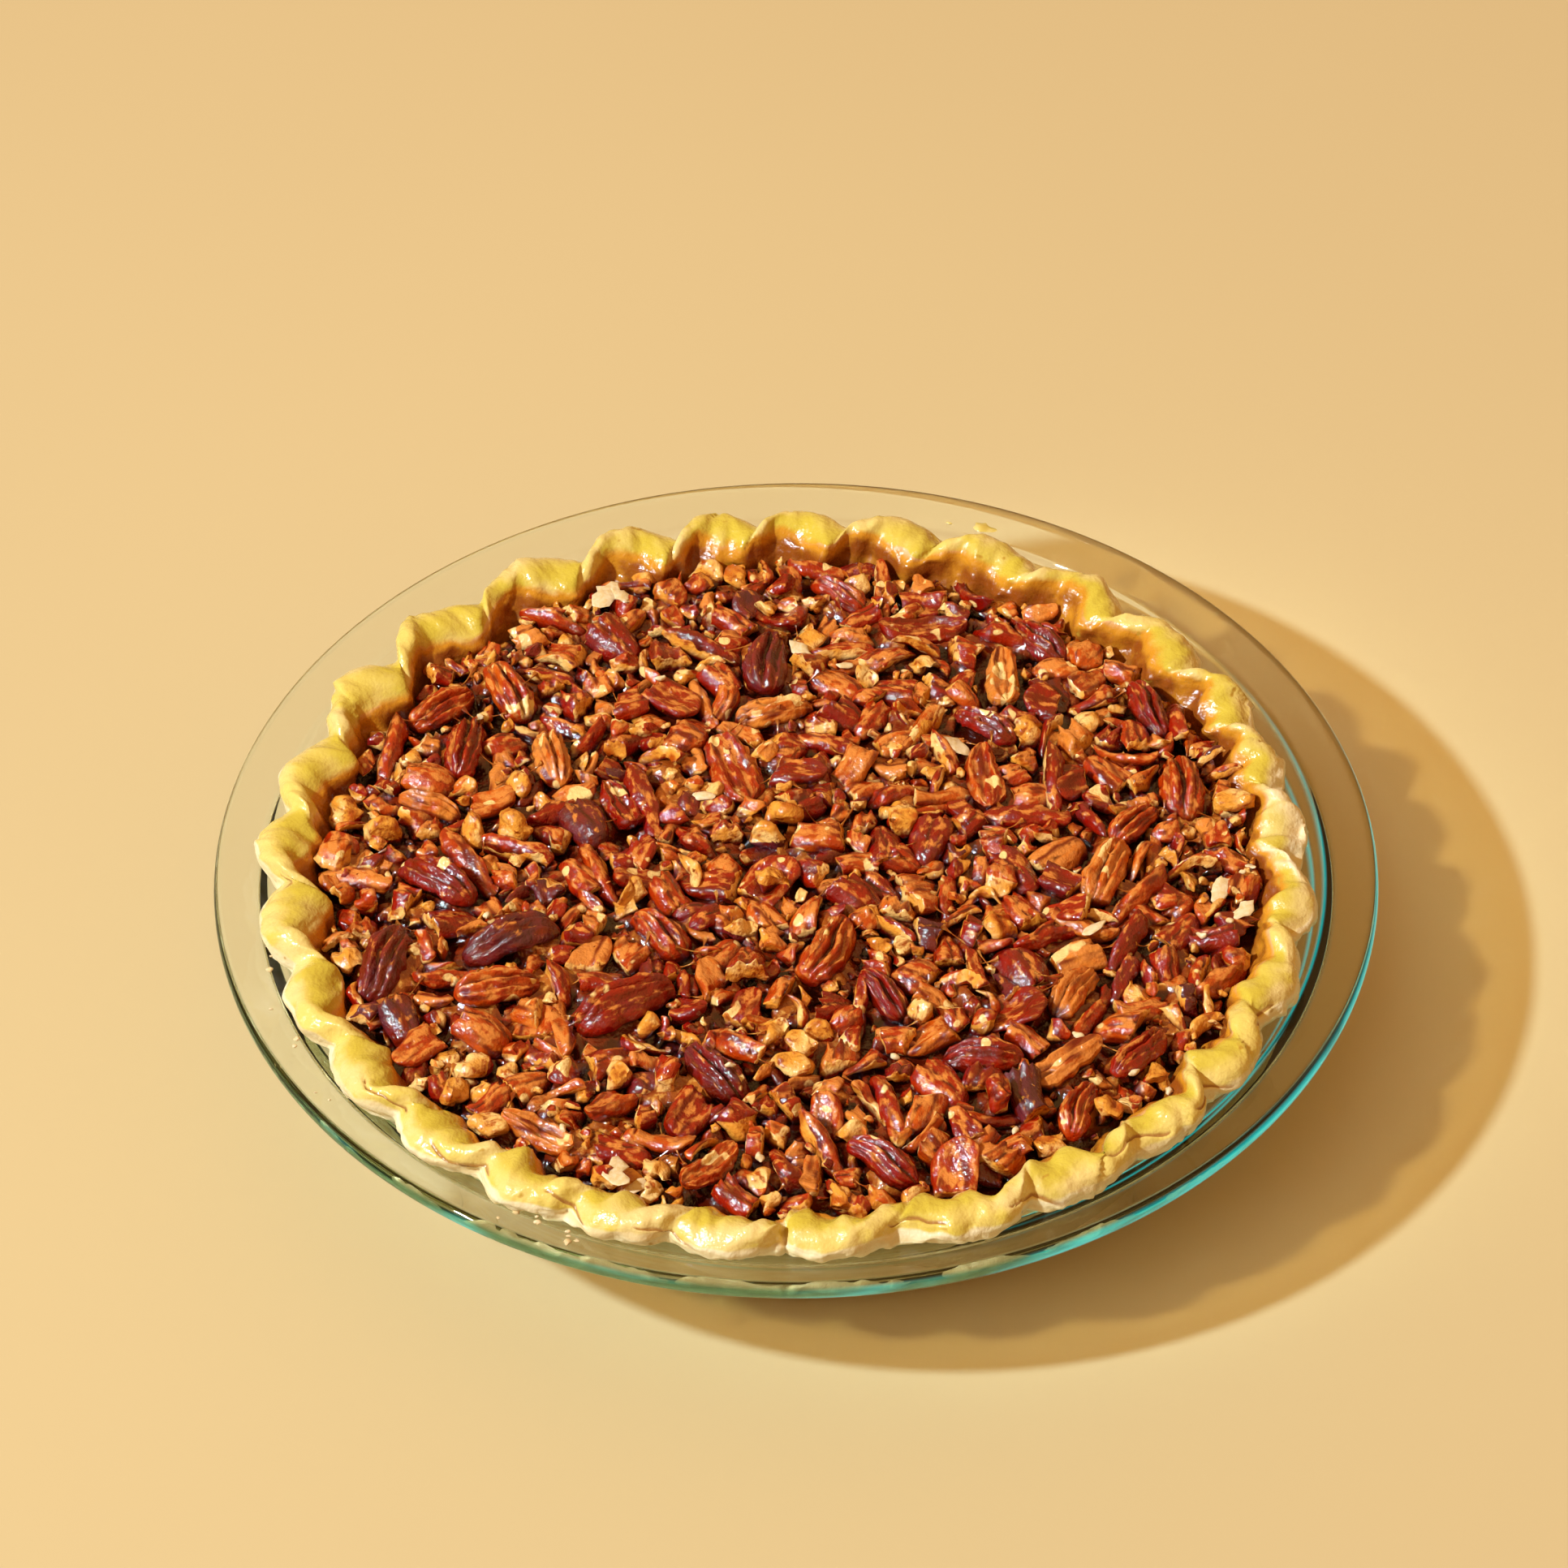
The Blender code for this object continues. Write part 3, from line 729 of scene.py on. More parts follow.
def half_points(unit, length, rng):
    """Points of a unit ball shaped as a pecan half along X: lobed back up, hollow face down."""
    along, across, up = unit[:, 2], unit[:, 0], unit[:, 1]
    wobble = rng.uniform(0.0, 6.0)
    width = length * rng.uniform(0.40, 0.48)
    height = length * rng.uniform(0.23, 0.28)
    turn = np.arctan2(up, across)
    ends = np.clip(1.0 - np.abs(along) ** 2.8, 0.0, 1.0) ** 0.5
    taper = 1.0 - rng.uniform(0.06, 0.2) * along
    groove = np.where(up > 0.0, lobes(turn, along, wobble), 0.0)
    y = 0.5 * width * ends * taper * np.cos(turn) * (1.0 - 0.35 * groove)
    back = height * ends * np.sin(turn) * (1.0 - 1.25 * groove)
    reach = np.abs(np.cos(turn))
    rolled = 0.22 + 0.70 * hump(reach, 0.62, 0.2) + 0.35 * hump(reach, 0.0, 0.13)
    face = -0.5 * height * ends * np.abs(np.sin(turn)) ** 0.6 * rolled
    x = 0.5 * length * along
    z = np.where(up > 0.0, back, face) - rng.uniform(0.03, 0.10) * length * along ** 2
    y = y + 0.03 * length * rng.uniform(-1.0, 1.0) * along ** 2
    points = np.stack([x, y, z], axis=1)
    out = np.stack([x * 0.0, y / (0.25 * width ** 2), z / height ** 2], axis=1)
    out /= np.maximum(np.linalg.norm(out, axis=1, keepdims=True), 1e-6)
    seed = rng.randrange(1000)
    # Ripples across the lobes, then dents and bumps of every size.
    ripples = 0.024 * bumps(points * np.array([2.2, 0.9, 0.9]), 0.14 * length, seed)
    points = points + out * (ripples * length)[:, None]
    points = shaken(points, 0.45 * length, 0.045 * length, seed + 1)
    points = shaken(points, 2.3 * MM, 0.32 * MM, seed + 4)
    points = shaken(points, 1.1 * MM, 0.07 * MM, seed + 7)
    # Valley: the depth of the back's grooves, and the middle of the hollow face. The finish paints shade
    # there.
    valley = np.where(up > 0.0, groove * 2.2, 0.6 * (1.0 - rolled))
    return points, np.clip(valley, 0.0, 1.0)


def whole_half(name, length, segments, rings, rng):
    """A pecan half as its own object along X, middle at the origin."""
    bpy.ops.object.select_all(action="DESELECT")
    bpy.ops.mesh.primitive_uv_sphere_add(segments=segments, ring_count=rings, radius=1.0)
    half = bpy.context.object
    half.name = name
    put_in_order(half)
    points, valley = half_points(points_of(half), length, rng)
    place_points(half, points)
    keep_value(half, "valley", valley)
    return half


def coloured(nodes, links, tone):
    """The skin's colour for a tone from 0, dark purple, to 1, pale tan."""
    scale = nodes.new("ShaderNodeValToRGB")
    steps = scale.color_ramp.elements
    for step, (at, colour) in zip([steps[0], steps[1]], [SKIN_TONES[0], SKIN_TONES[-1]]):
        step.position = at
        step.color = (*colour, 1.0)
    for at, colour in SKIN_TONES[1:-1]:
        steps.new(at).color = (*colour, 1.0)
    links.new(tone, scale.inputs["Fac"])
    return scale.outputs["Color"]


def skin_colour(nodes, links, own, fibres, tone, valley, up):
    """Skin in each nut's own tone, with painted shade in its grooves, and a sugary bloom that is partly
    painted light, lighter where it faces up.
    """
    colour = coloured(nodes, links, tone)
    # Painted shade: darker in the grooves and in the hollow face's middle.
    colour = blend(nodes, links, valley, colour, (0.0675, 0.0036, 0.0013), 0.15, 1.05)
    # Tan sugary bloom that is partly real and partly painted light: lighter where the skin faces up.
    sugar_bloom_and_top_light = add(nodes, links, fibres, scaled(nodes, links, up, 0.28, -0.15))
    sugar_bloom_and_top_light = add(nodes, links, sugar_bloom_and_top_light, scaled(nodes, links, tone, 0.22, -0.12))
    colour = blend(nodes, links, sugar_bloom_and_top_light, colour, (0.66, 0.205, 0.036), 0.54, 0.72)
    streaks = noise_node(nodes, links, stretched(nodes, links, own, (0.22, 1.0, 1.0)), 0.0011,
                         detail=1.0)
    colour = blend(nodes, links, streaks, colour, (0.1572, 0.0061, 0.0006), 0.52, 0.72)
    chips = noise_node(nodes, links, own, 0.0030, detail=1.0)
    chips = add(nodes, links, chips, scaled(nodes, links, tone, 0.10, -0.07))
    return blend(nodes, links, chips, colour, (0.87, 0.56, 0.20), 0.655, 0.685)


def flesh_colour(nodes, links, fibres, soak_and_shade):
    """Broken flesh: golden, soaked amber and brown in places."""
    colour = blend(nodes, links, soak_and_shade, (0.88, 0.53, 0.17), (0.76, 0.30, 0.034), 0.30, 0.52)
    colour = blend(nodes, links, soak_and_shade, colour, (0.4343, 0.0675, 0.0031), 0.52, 0.72)
    return blend(nodes, links, fibres, colour, (0.36, 0.060, 0.004), 0.50, 0.70)


def nut_finish():
    """Pecans baked in syrup: glossy skin and broken flesh, with painted shade darkest deep among the
    nuts.
    """
    finish, nodes, links, shader = new_finish("glazed_pecan")
    place = object_place(nodes)
    own = attribute(nodes, "own").outputs["Vector"]
    tone, valley, flesh, soaked, up, depth = (
        attribute(nodes, name).outputs["Fac"]
        for name in ("tone", "valley", "flesh", "soak_and_shade", "up", "depth"))
    fibres = noise_node(nodes, links, stretched(nodes, links, own, (0.5, 1.0, 1.0)), 0.00075,
                        detail=3.0)
    skin = skin_colour(nodes, links, own, fibres, tone, valley, up)
    broken = flesh_colour(nodes, links, fibres, soaked)
    edge = add(nodes, links, flesh, scaled(nodes, links, fibres, 0.8, -0.4))
    colour = blend(nodes, links, edge, skin, broken, 0.42, 0.58)
    # Painted shade: the colour falls to near black the deeper a point lies below the nuts' even level.
    sunk = add(nodes, links, depth, scaled(nodes, links, fibres, 0.4, -0.2))
    colour = blend(nodes, links, sunk, colour, (0.11, 0.0030, 0.0002), -0.06, 0.34)
    colour = blend(nodes, links, sunk, colour, (0.006, 0.0002, 0.0001), 0.26, 0.62)
    links.new(colour, shader.inputs["Base Color"])
    grain = grained(nodes, links, place, 0.00046, 0.04, 0.20)
    links.new(grain.outputs["Roughness"], shader.inputs["Roughness"])
    shader.inputs["Specular IOR Level"].default_value = 0.8
    relief = add(nodes, links, scaled(nodes, links, fibres, 0.5, 0.0),
                 scaled(nodes, links, grain.outputs["Height"], 1.25, 0.0))
    add_bump(nodes, links, shader, relief, 1.0, 0.50 * MM)
    return finish


# ---------------------------------------------------------------- laying the nuts

def blurred(grid, cells, rounds):
    """A grid evened out over a square of cells each way, round after round."""
    width = 2 * cells + 1
    for _ in range(rounds):
        for axis in (0, 1):
            edges = [(cells + 1, cells) if k == axis else (0, 0) for k in (0, 1)]
            total = np.cumsum(np.pad(grid, edges, mode="edge"), axis=axis)
            count = total.shape[axis] - width
            upper = np.take(total, np.arange(count) + width, axis)
            grid = (upper - np.take(total, np.arange(count), axis)) / width
    return grid


class Ground:
    """The height of the pie's surface on a square grid, raised as each nut is laid."""

    cell = 0.8 * MM
    reach = 116 * MM

    def __init__(self):
        count = int(2 * self.reach / self.cell)
        at = (np.arange(count) + 0.5) * self.cell - self.reach
        x, y = (grid.ravel() for grid in np.meshgrid(at, at, indexing="ij"))
        self.height = filling_height(x, y).reshape(count, count)
        self.bed = self.height.copy()

    def raise_over(self, points):
        """Raises the ground to these points, such as the crust's."""
        index = np.floor((points[:, :2] + self.reach) / self.cell).astype(int)
        np.maximum.at(self.height, (index[:, 0], index[:, 1]), points[:, 2])

    def footprint(self, points):
        """Cells under a nut that is centred on the origin, with its underside and top there."""
        index = np.floor(points[:, :2] / self.cell).astype(int)
        low = index.min(0)
        index = index - low
        shape = index.max(0) + 1
        top, bottom = np.full(shape, -1.0), np.full(shape, 1.0)
        np.maximum.at(top, (index[:, 0], index[:, 1]), points[:, 2])
        np.minimum.at(bottom, (index[:, 0], index[:, 1]), points[:, 2])
        filled = top > -0.5
        return low, filled, top, bottom

    def rest(self, print_, x, y):
        """Height at which a nut lies still at a place, and the cells it then covers."""
        low, filled, top, bottom = print_
        i = int((x + self.reach) / self.cell) + low[0]
        j = int((y + self.reach) / self.cell) + low[1]
        under = self.height[i:i + filled.shape[0], j:j + filled.shape[1]]
        gaps = (under - bottom)[filled]
        return float(np.percentile(gaps, 82)), (i, j)

    def lay(self, print_, corner, height):
        low, filled, top, bottom = print_
        i, j = corner
        for grid in (self.height, self.bed):
            under = grid[i:i + filled.shape[0], j:j + filled.shape[1]]
            under[filled] = np.maximum(under[filled], (top + height)[filled])

    def settle(self):
        """Works out the even level of the nuts' tops, once all are laid."""
        self.even = blurred(self.bed, 3, 2)

    def top(self, x, y):
        """Height of the topmost nut at places on the pie."""
        i, j = (((value + self.reach) / self.cell).astype(int) for value in (x, y))
        return self.bed[i, j]

    def level(self, x, y):
        """The nuts' even level at places on the pie."""
        at = [np.clip((value + self.reach) / self.cell - 0.5, 0, len(self.even) - 1.001)
              for value in (x, y)]
        (i, j), (p, q) = ([np.floor(value).astype(int) for value in at],
                          [value - np.floor(value) for value in at])
        grid = self.even
        near = grid[i, j] * (1 - p) + grid[i + 1, j] * p
        far = grid[i, j + 1] * (1 - p) + grid[i + 1, j + 1] * p
        return near * (1 - q) + far * q


def turned_points(points, heading, roll, pitch):
    turn = Euler((roll, pitch, 0.0)).to_matrix()
    turn = Matrix.Rotation(heading, 3, "Z") @ turn
    return points @ np.array(turn).T


def node_frame(name):
    """Middle, length and heading of a pecan half's solid, rounded so that they never waver."""
    mesh = bpy.data.objects[name].data
    points = np.empty(len(mesh.vertices) * 3)
    mesh.vertices.foreach_get("co", points)
    points = points.reshape(-1, 3)
    low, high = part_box(name)
    middle = np.round(np.array((low + high) / 2), 4)
    spread_out = np.linalg.eigh(np.cov((points - middle).T))[1]
    axis = spread_out[:, 2]
    along = (points - middle) @ axis
    heading = math.degrees(math.atan2(axis[1], axis[0])) % 180.0
    return middle, round(float(along.max() - along.min()), 4), math.radians(round(heading))


FACE_UP = {"pecan_brown_03", "pecan_brown_09", "pecan_pale_03", "pecan_pale_05", "pecan_red_02",
           "pecan_brown_05", "pecan_pale_08", "pecan_red_12"}


def own_place(points, rng):
    """A nut's points as it lies flat, moved off by chance, so that no two are marked alike."""
    return points + np.array([rng.uniform(-1.0, 1.0) for _ in range(3)])


def mottle(obj, points, tone):
    """Stores an uneven skin tone and how far syrup has soaked each point."""
    uneven = bumps(points, 3.4 * MM, 51) + 0.6 * bumps(points, 1.5 * MM, 52)
    keep_value(obj, "tone", tone + 0.15 * uneven)
    keep_value(obj, "soak_and_shade", 0.46 + 0.26 * bumps(points, 4.0 * MM, 53)
               + 0.14 * bumps(points, 1.6 * MM, 54))


def make_halves(ground, nuts):
    """Each pecan half of the record, in the place and colour of its solid."""
    rng = random.Random(21)
    halves = []
    for name in sorted(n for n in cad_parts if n.startswith("pecan_")):
        colour = name.split("_")[1]
        middle, length, heading = node_frame(name)
        half = whole_half(name.replace("pecan_", "glazed_half_"), length * 1.02, 48, 34, rng)
        points = points_of(half)
        keep_vector(half, "own", own_place(points, rng))
        roll = math.pi if name in FACE_UP else 0.0
        points = turned_points(points, heading, roll + rng.uniform(-0.2, 0.2),
                               rng.uniform(-0.14, 0.14))
        height = middle[2] - 0.7 * MM
        print_ = ground.footprint(points)
        ground.lay(print_, ground.rest(print_, middle[0], middle[1])[1], height)
        place_points(half, points + np.array([middle[0], middle[1], height]))
        mottle(half, points, TONE_OF[colour] + rng.uniform(-0.06, 0.06))
        keep_value(half, "flesh", np.zeros(len(points)))
        half.data.materials.append(nuts)
        smooth(half)
        hand_over(half, [name])
        halves.append(half)
    return halves


def soak_and_shade(obj, ground):
    """Stores how deep each point lies among the nuts, for painted shade, and how much it faces up, for
    painted top light.
    """
    points = points_of(obj)
    keep_value(obj, "depth", (ground.level(points[:, 0], points[:, 1]) - points[:, 2]) / (4 * MM))
    normals = np.empty(len(points) * 3)
    obj.data.vertices.foreach_get("normal", normals)
    keep_value(obj, "up", normals.reshape(-1, 3)[:, 2])


def cut_off(obj, at, normal):
    """Cuts away what lies beyond a plane and closes the cut with faces of broken flesh."""
    edit_all(obj)
    bpy.ops.mesh.bisect(plane_co=at, plane_no=normal, use_fill=True, clear_outer=True)
    bpy.ops.mesh.quads_convert_to_tris()
    bpy.ops.mesh.subdivide(number_cuts=1)
    object_mode()
    for face in obj.data.polygons:
        if face.select:
            face.material_index = 1
    put_in_order(obj)


FRAGMENT_CUTS = {
    "end": [((0.1, 0.0), (1.0, 0.2))],
    "blunt_end": [((-0.08, 0.0), (1.0, -0.35))],
    "middle": [((0.25, 0.0), (1.0, 0.3)), ((-0.22, 0.0), (-1.0, 0.1))],
    "lobe": [((0.0, 0.02), (0.05, 1.0)), ((0.30, 0.0), (1.0, 0.1))],
    "long_lobe": [((0.0, -0.02), (-0.08, -1.0))],
    "corner": [((0.0, 0.03), (0.1, 1.0)), ((0.02, 0.0), (1.0, 0.2))],
    "quarter": [((-0.1, -0.05), (0.2, -1.0)), ((-0.05, 0.0), (-1.0, 0.15))],
    "slice": [((0.12, 0.0), (1.0, 0.5)), ((-0.08, 0.0), (-1.0, -0.5))],
}


def broken_share(points, faces, cut):
    """For each point, the share of its faces that are broken flesh."""
    total, broken = np.zeros(len(points)), np.zeros(len(points))
    for corner in faces.T:
        np.add.at(total, corner, 1.0)
        np.add.at(broken, corner, cut)
    return broken / np.maximum(total, 1.0)


def without_fins(faces):
    """The triangles that close a piece, without any that hang from it by an open edge."""
    sides = np.sort(np.stack([faces, np.roll(faces, -1, axis=1)], axis=2), axis=2)
    _, edge, uses = np.unique(sides.reshape(-1, 2), axis=0, return_inverse=True, return_counts=True)
    return (uses[edge.ravel()].reshape(-1, 3) > 1).all(axis=1)


def fragment(kind, length, fineness, rng):
    """A piece chopped from a pecan half: (points, triangles, flesh share, valley)."""
    obj = whole_half("chopped", length, *fineness, rng)
    obj.data.materials.append(None)
    obj.data.materials.append(None)
    for (x, y), (nx, ny) in FRAGMENT_CUTS[kind]:
        at = ((x + rng.uniform(-0.06, 0.06)) * length, y * length, 0.0)
        normal = Vector((nx, ny, rng.uniform(-0.4, 0.4))).normalized()
        cut_off(obj, at, normal)
    edit_all(obj)
    bpy.ops.mesh.delete_loose(use_verts=True, use_edges=True, use_faces=False)
    bpy.ops.mesh.select_all(action="SELECT")
    bpy.ops.mesh.quads_convert_to_tris()
    object_mode()
    put_in_order(obj)
    edit_all(obj)
    bpy.ops.mesh.vertices_smooth(factor=0.5, repeat=3)
    object_mode()
    seed = rng.randrange(1000)
    points = shaken(points_of(obj), 0.45 * length, 0.07 * length, seed + 2)
    points = shaken(points, 3.0 * MM, 0.55 * MM, seed + 5)
    points = shaken(points, 1.4 * MM, 0.12 * MM, seed + 8)
    faces = np.array([face.vertices[:] for face in obj.data.polygons])
    cut = np.array([face.material_index for face in obj.data.polygons], float)
    closed = without_fins(faces)
    faces, cut = faces[closed], cut[closed]
    valley = np.empty(len(points), np.float32)
    obj.data.attributes["valley"].data.foreach_get("value", valley)
    bpy.data.meshes.remove(obj.data)
    return points - points.mean(0), faces, broken_share(points, faces, cut), valley


def snapped(points, size, rng):
    """Points held inside a few random planes, which gives a piece its flat broken sides."""
    for _ in range(6):
        normal = np.array([rng.gauss(0.0, 1.0) for _ in range(3)])
        normal /= np.linalg.norm(normal)
        beyond = points @ normal - rng.uniform(0.22, 0.36) * size
        points = points - np.maximum(beyond, 0.0)[:, None] * normal
    return points


def ball(segments, rings):
    """Points and triangles of a unit ball."""
    bpy.ops.object.select_all(action="DESELECT")
    bpy.ops.mesh.primitive_uv_sphere_add(segments=segments, ring_count=rings, radius=1.0)
    obj = bpy.context.object
    put_in_order(obj)
    edit_all(obj)
    bpy.ops.mesh.quads_convert_to_tris()
    object_mode()
    put_in_order(obj)
    points = points_of(obj)
    faces = np.array([face.vertices[:] for face in obj.data.polygons])
    bpy.data.meshes.remove(obj.data)
    return points, faces


def nugget(length, segments, rings, rng):
    """A lumpy bit of nut, all flesh but for one side."""
    points, faces = ball(segments, rings)
    seed = rng.randrange(1000)
    shape = np.array([0.5, 0.5 * rng.uniform(0.55, 0.9), 0.5 * rng.uniform(0.45, 0.7)])
    points = snapped(shaken(points * shape * length, 0.5 * length, 0.18 * length, seed), length, rng)
    points = shaken(points, 0.30 * length, 0.16 * length, seed + 3)
    points = shaken(points, 1.8 * MM, 0.28 * MM, seed + 6)
    flesh = 1.0 - smooth_ramp(points[:, 2] / length, 0.02, rng.uniform(0.14, 0.34))
    return points - points.mean(0), faces, flesh, np.full(len(points), 0.1)


def curl(length, segments, rings, rng):
    """A thin strip of nut that curled as it broke."""
    unit, faces = ball(segments, rings)
    across, up, along = unit.T
    bend = rng.uniform(0.7, 1.35)
    radius = length / (2.0 * bend)
    ends = np.clip(1.0 - np.abs(along) ** 3, 0.0, 1.0) ** 0.5
    out = radius + rng.uniform(0.8, 1.2) * MM * across
    width = rng.uniform(1.5, 2.1) * MM
    points = np.stack([out * np.sin(along * bend), out * np.cos(along * bend) - radius,
                       width * up * ends], axis=1)
    seed = rng.randrange(1000)
    points = shaken(points, 3.0 * MM, 0.8 * MM, seed)
    points = shaken(points, 1.3 * MM, 0.28 * MM, seed + 3)
    return points - points.mean(0), faces, 1.0 - smooth_ramp(across, 0.2, 0.8), across * 0.0


def join_nuts(name, laid, nuts):
    """One object out of many laid nuts, each with its own tone."""
    points, faces, flesh, valley, own, tone = (list(column) for column in zip(*laid))
    starts = np.cumsum([0] + [len(nut) for nut in points[:-1]])
    triangles = np.vstack([nut + start for nut, start in zip(faces, starts)])
    obj = new_piece(name, np.vstack(points), triangles.tolist())
    keep_value(obj, "flesh", np.concatenate(flesh))
    keep_value(obj, "valley", np.concatenate(valley))
    keep_vector(obj, "own", np.vstack(own))
    shades = np.concatenate([np.full(len(nut), shade) for nut, shade in zip(points, tone)])
    mottle(obj, np.vstack(own), shades)
    obj.data.materials.append(nuts)
    smooth(obj)
    return obj


def chopped_place(rng, edge):
    """A place anywhere on the nuts' round bed."""
    out = edge * math.sqrt(rng.random())
    angle = rng.uniform(0.0, 2.0 * math.pi)
    return LEAN[0] + out * math.cos(angle), LEAN[1] + out * math.sin(angle)


def nut_tone(rng):
    """The skin's tone of one chopped nut: mostly red-brown to orange-brown, a few purple or pale."""
    pick = rng.random()
    if pick < 0.05:
        return rng.uniform(0.0, 0.16)
    if pick < 0.27:
        return rng.uniform(0.26, 0.44)
    if pick < 0.86:
        return rng.uniform(0.46, 0.78)
    return rng.uniform(0.80, 1.0)


def lay_nuts(ground, shapes, count, rng, tilt, sink, tries, edge):
    """Drops nuts one by one where they come to lie lowest."""
    laid = []
    for _ in range(count):
        points, faces, flesh, valley = rng.choice(shapes)
        points = points * rng.uniform(0.84, 1.14)
        own = own_place(points, rng)
        upside = math.pi if rng.random() < 0.35 else 0.0
        points = turned_points(points, rng.uniform(0.0, 2.0 * math.pi),
                               upside + rng.uniform(-tilt, tilt), rng.uniform(-tilt, tilt))
        print_ = ground.footprint(points)
        best = None
        for _ in range(tries):
            x, y = chopped_place(rng, edge)
            rest, corner = ground.rest(print_, x, y)
            if best is None or rest < best[0]:
                best = (rest, corner, x, y)
        rest, corner, x, y = best
        height = rest - sink
        ground.lay(print_, corner, height)
        laid.append((points + np.array([x, y, height]), faces, flesh, valley, own, nut_tone(rng)))
    return laid


def make_chopped(ground, nuts):
    """The chopped pecans: a bed of small pieces, large ones on it, then a few small and bits."""
    rng = random.Random(5)
    kinds = list(FRAGMENT_CUTS)
    large = [fragment(kind, rng.uniform(15.5, 20.5) * MM, (28, 22), rng) for kind in kinds * 3]
    small = [fragment(kind, rng.uniform(11, 14.5) * MM, (24, 16), rng) for kind in kinds * 2]
    lumps = [nugget(rng.uniform(5.5, 9.5) * MM, 20, 14, rng) for _ in range(14)]
    curls = [curl(rng.uniform(8.0, 12.0) * MM, 12, 18, rng) for _ in range(4)]
    crumbs = [nugget(rng.uniform(2.0, 4.6) * MM, 12, 8, rng) for _ in range(12)]
    bed = lay_nuts(ground, small + lumps, 240, rng, 0.7, 0.9 * MM, 40, 99 * MM)
    first = lay_nuts(ground, large, 300, rng, 0.35, 1.2 * MM, 70, 98 * MM)
    second = lay_nuts(ground, small + lumps * 2 + curls, 260, rng, 0.6, 0.9 * MM, 60, 100 * MM)
    third = lay_nuts(ground, crumbs, 260, rng, 0.8, 0.4 * MM, 24, 101 * MM)
    pieces = [join_nuts(name, laid, nuts) for name, laid in (
        ("chopped_pecans_bed", bed), ("chopped_pecans_large", first[:150]),
        ("chopped_pecans_upper", first[150:]), ("chopped_pecans_small", second),
        ("pecan_crumbs", third))]
    hand_over(pieces[0], ["chopped_pecans"])
    for piece in pieces[1:]:
        hand_over(piece)
    return pieces


# ---------------------------------------------------------------- crumbs, flakes and threads

# Pale pastry flakes that fell on the nuts: place and length.
FLAKES = [(-42.0, 82.0, 8.5), (-39.0, 79.5, 5.0), (91.0, -16.0, 7.5), (95.0, -23.0, 6.0),
          (63.0, -28.0, 6.5), (-37.0, -98.0, 7.5), (-33.0, -100.0, 5.0), (-20.0, 14.0, 5.0),
          (2.0, 62.0, 6.0), (12.0, 58.0, 4.0), (98.0, -8.0, 4.0), (36.0, 30.0, 6.5)]
PASTRY_BITS = [(69.0, -70.0), (76.0, -73.0), (86.0, -30.0), (96.0, -12.0), (92.0, -27.0),
               (-66.0, -22.0), (-14.0, -70.0), (58.0, -60.0), (-30.0, 52.0), (20.0, -64.0),
               (-48.0, -84.0), (-8.0, -92.0), (80.0, 8.0), (44.0, -84.0), (-70.0, 40.0)]
EGG_DRIPS = [(45.0, 109.0, 5.0), (28.0, 108.5, 3.6), (37.0, 111.0, 1.6)]
THREAD_SIDES, THREAD_RINGS = 5, 8


def pastry_bit_finish():
    """Crumbs and flakes of pale, dry pastry."""
    finish, nodes, links, shader = new_finish("pastry_flake")
    place = object_place(nodes)
    grain = grained(nodes, links, place, 0.0006, 0.45, 0.75)
    colour = blend(nodes, links, grain.outputs["Height"], (0.76, 0.57, 0.33), (0.68, 0.46, 0.20),
                   0.22, 0.40)
    links.new(colour, shader.inputs["Base Color"])
    links.new(grain.outputs["Roughness"], shader.inputs["Roughness"])
    add_bump(nodes, links, shader, grain.outputs["Height"], 0.8, 0.4 * MM)
    return finish


def egg_finish():
    """Dried egg wash."""
    finish, nodes, links, shader = new_finish("egg_wash")
    grain = grained(nodes, links, object_place(nodes), 0.001, 0.05, 0.20)
    colour = blend(nodes, links, grain.outputs["Height"], (0.74, 0.55, 0.17), (0.66, 0.46, 0.09),
                   0.22, 0.40)
    links.new(colour, shader.inputs["Base Color"])
    links.new(grain.outputs["Roughness"], shader.inputs["Roughness"])
    return finish


def ragged(length, width, thickness, rng):
    """A small flat ragged piece: points and triangles."""
    points, faces = ball(16, 10)
    seed = rng.randrange(1000)
    points = points * np.array([length, width, thickness]) / 2.0
    edge = np.hypot(points[:, 0] / length, points[:, 1] / width) * 2.0
    swell = 1.0 + 0.5 * bumps(points * np.array([1, 1, 0]), 0.22 * length, seed)[:, None] * edge[:, None]
    points = points * np.hstack([swell, swell, swell * 0 + 1.0])
    points[:, 2] += 0.10 * length * bumps(points * np.array([1, 1, 0]), 0.5 * length, seed + 1)
    return shaken(points, 1.0 * MM, 0.10 * MM, seed + 2), faces


def flange_top(x, y):
    """Height of the dish's flange at a place on it."""
    out = math.hypot(x, y)
    share = (out - MOUTH_RADIUS) / (RIM_RADIUS - MOUTH_RADIUS)
    return DISH_HEIGHT - FLANGE_RISE * (1.0 - min(max(share, 0.0), 1.0))


def join_bits(name, bits, finish):
    points, faces = zip(*bits)
    starts = np.cumsum([0] + [len(part) for part in points[:-1]])
    triangles = np.vstack([part + start for part, start in zip(faces, starts)])
    obj = new_piece(name, np.vstack(points), triangles.tolist())
    obj.data.materials.append(finish)
    smooth(obj, 50)
    return obj


def make_flakes(ground, flake):
    """Pale flakes and bits of pastry lying on the nuts."""
    rng = random.Random(12)
    bits = []
    places = FLAKES + [(x, y, rng.uniform(1.6, 2.8)) for x, y in PASTRY_BITS]
    for x, y, length in places:
        flat = 0.9 if length > 3.5 else 1.3
        points, faces = ragged(length * MM, length * rng.uniform(0.45, 0.75) * MM, flat * MM, rng)
        points = turned_points(points, rng.uniform(0.0, 6.3), rng.uniform(-0.3, 0.3),
                               rng.uniform(-0.3, 0.3))
        x, y = x * MM, y * MM
        rest, _ = ground.rest(ground.footprint(points), x, y)
        bits.append((points + np.array([x, y, rest - 0.2 * MM]), faces))
    hand_over(join_bits("pastry_flakes", bits, flake))


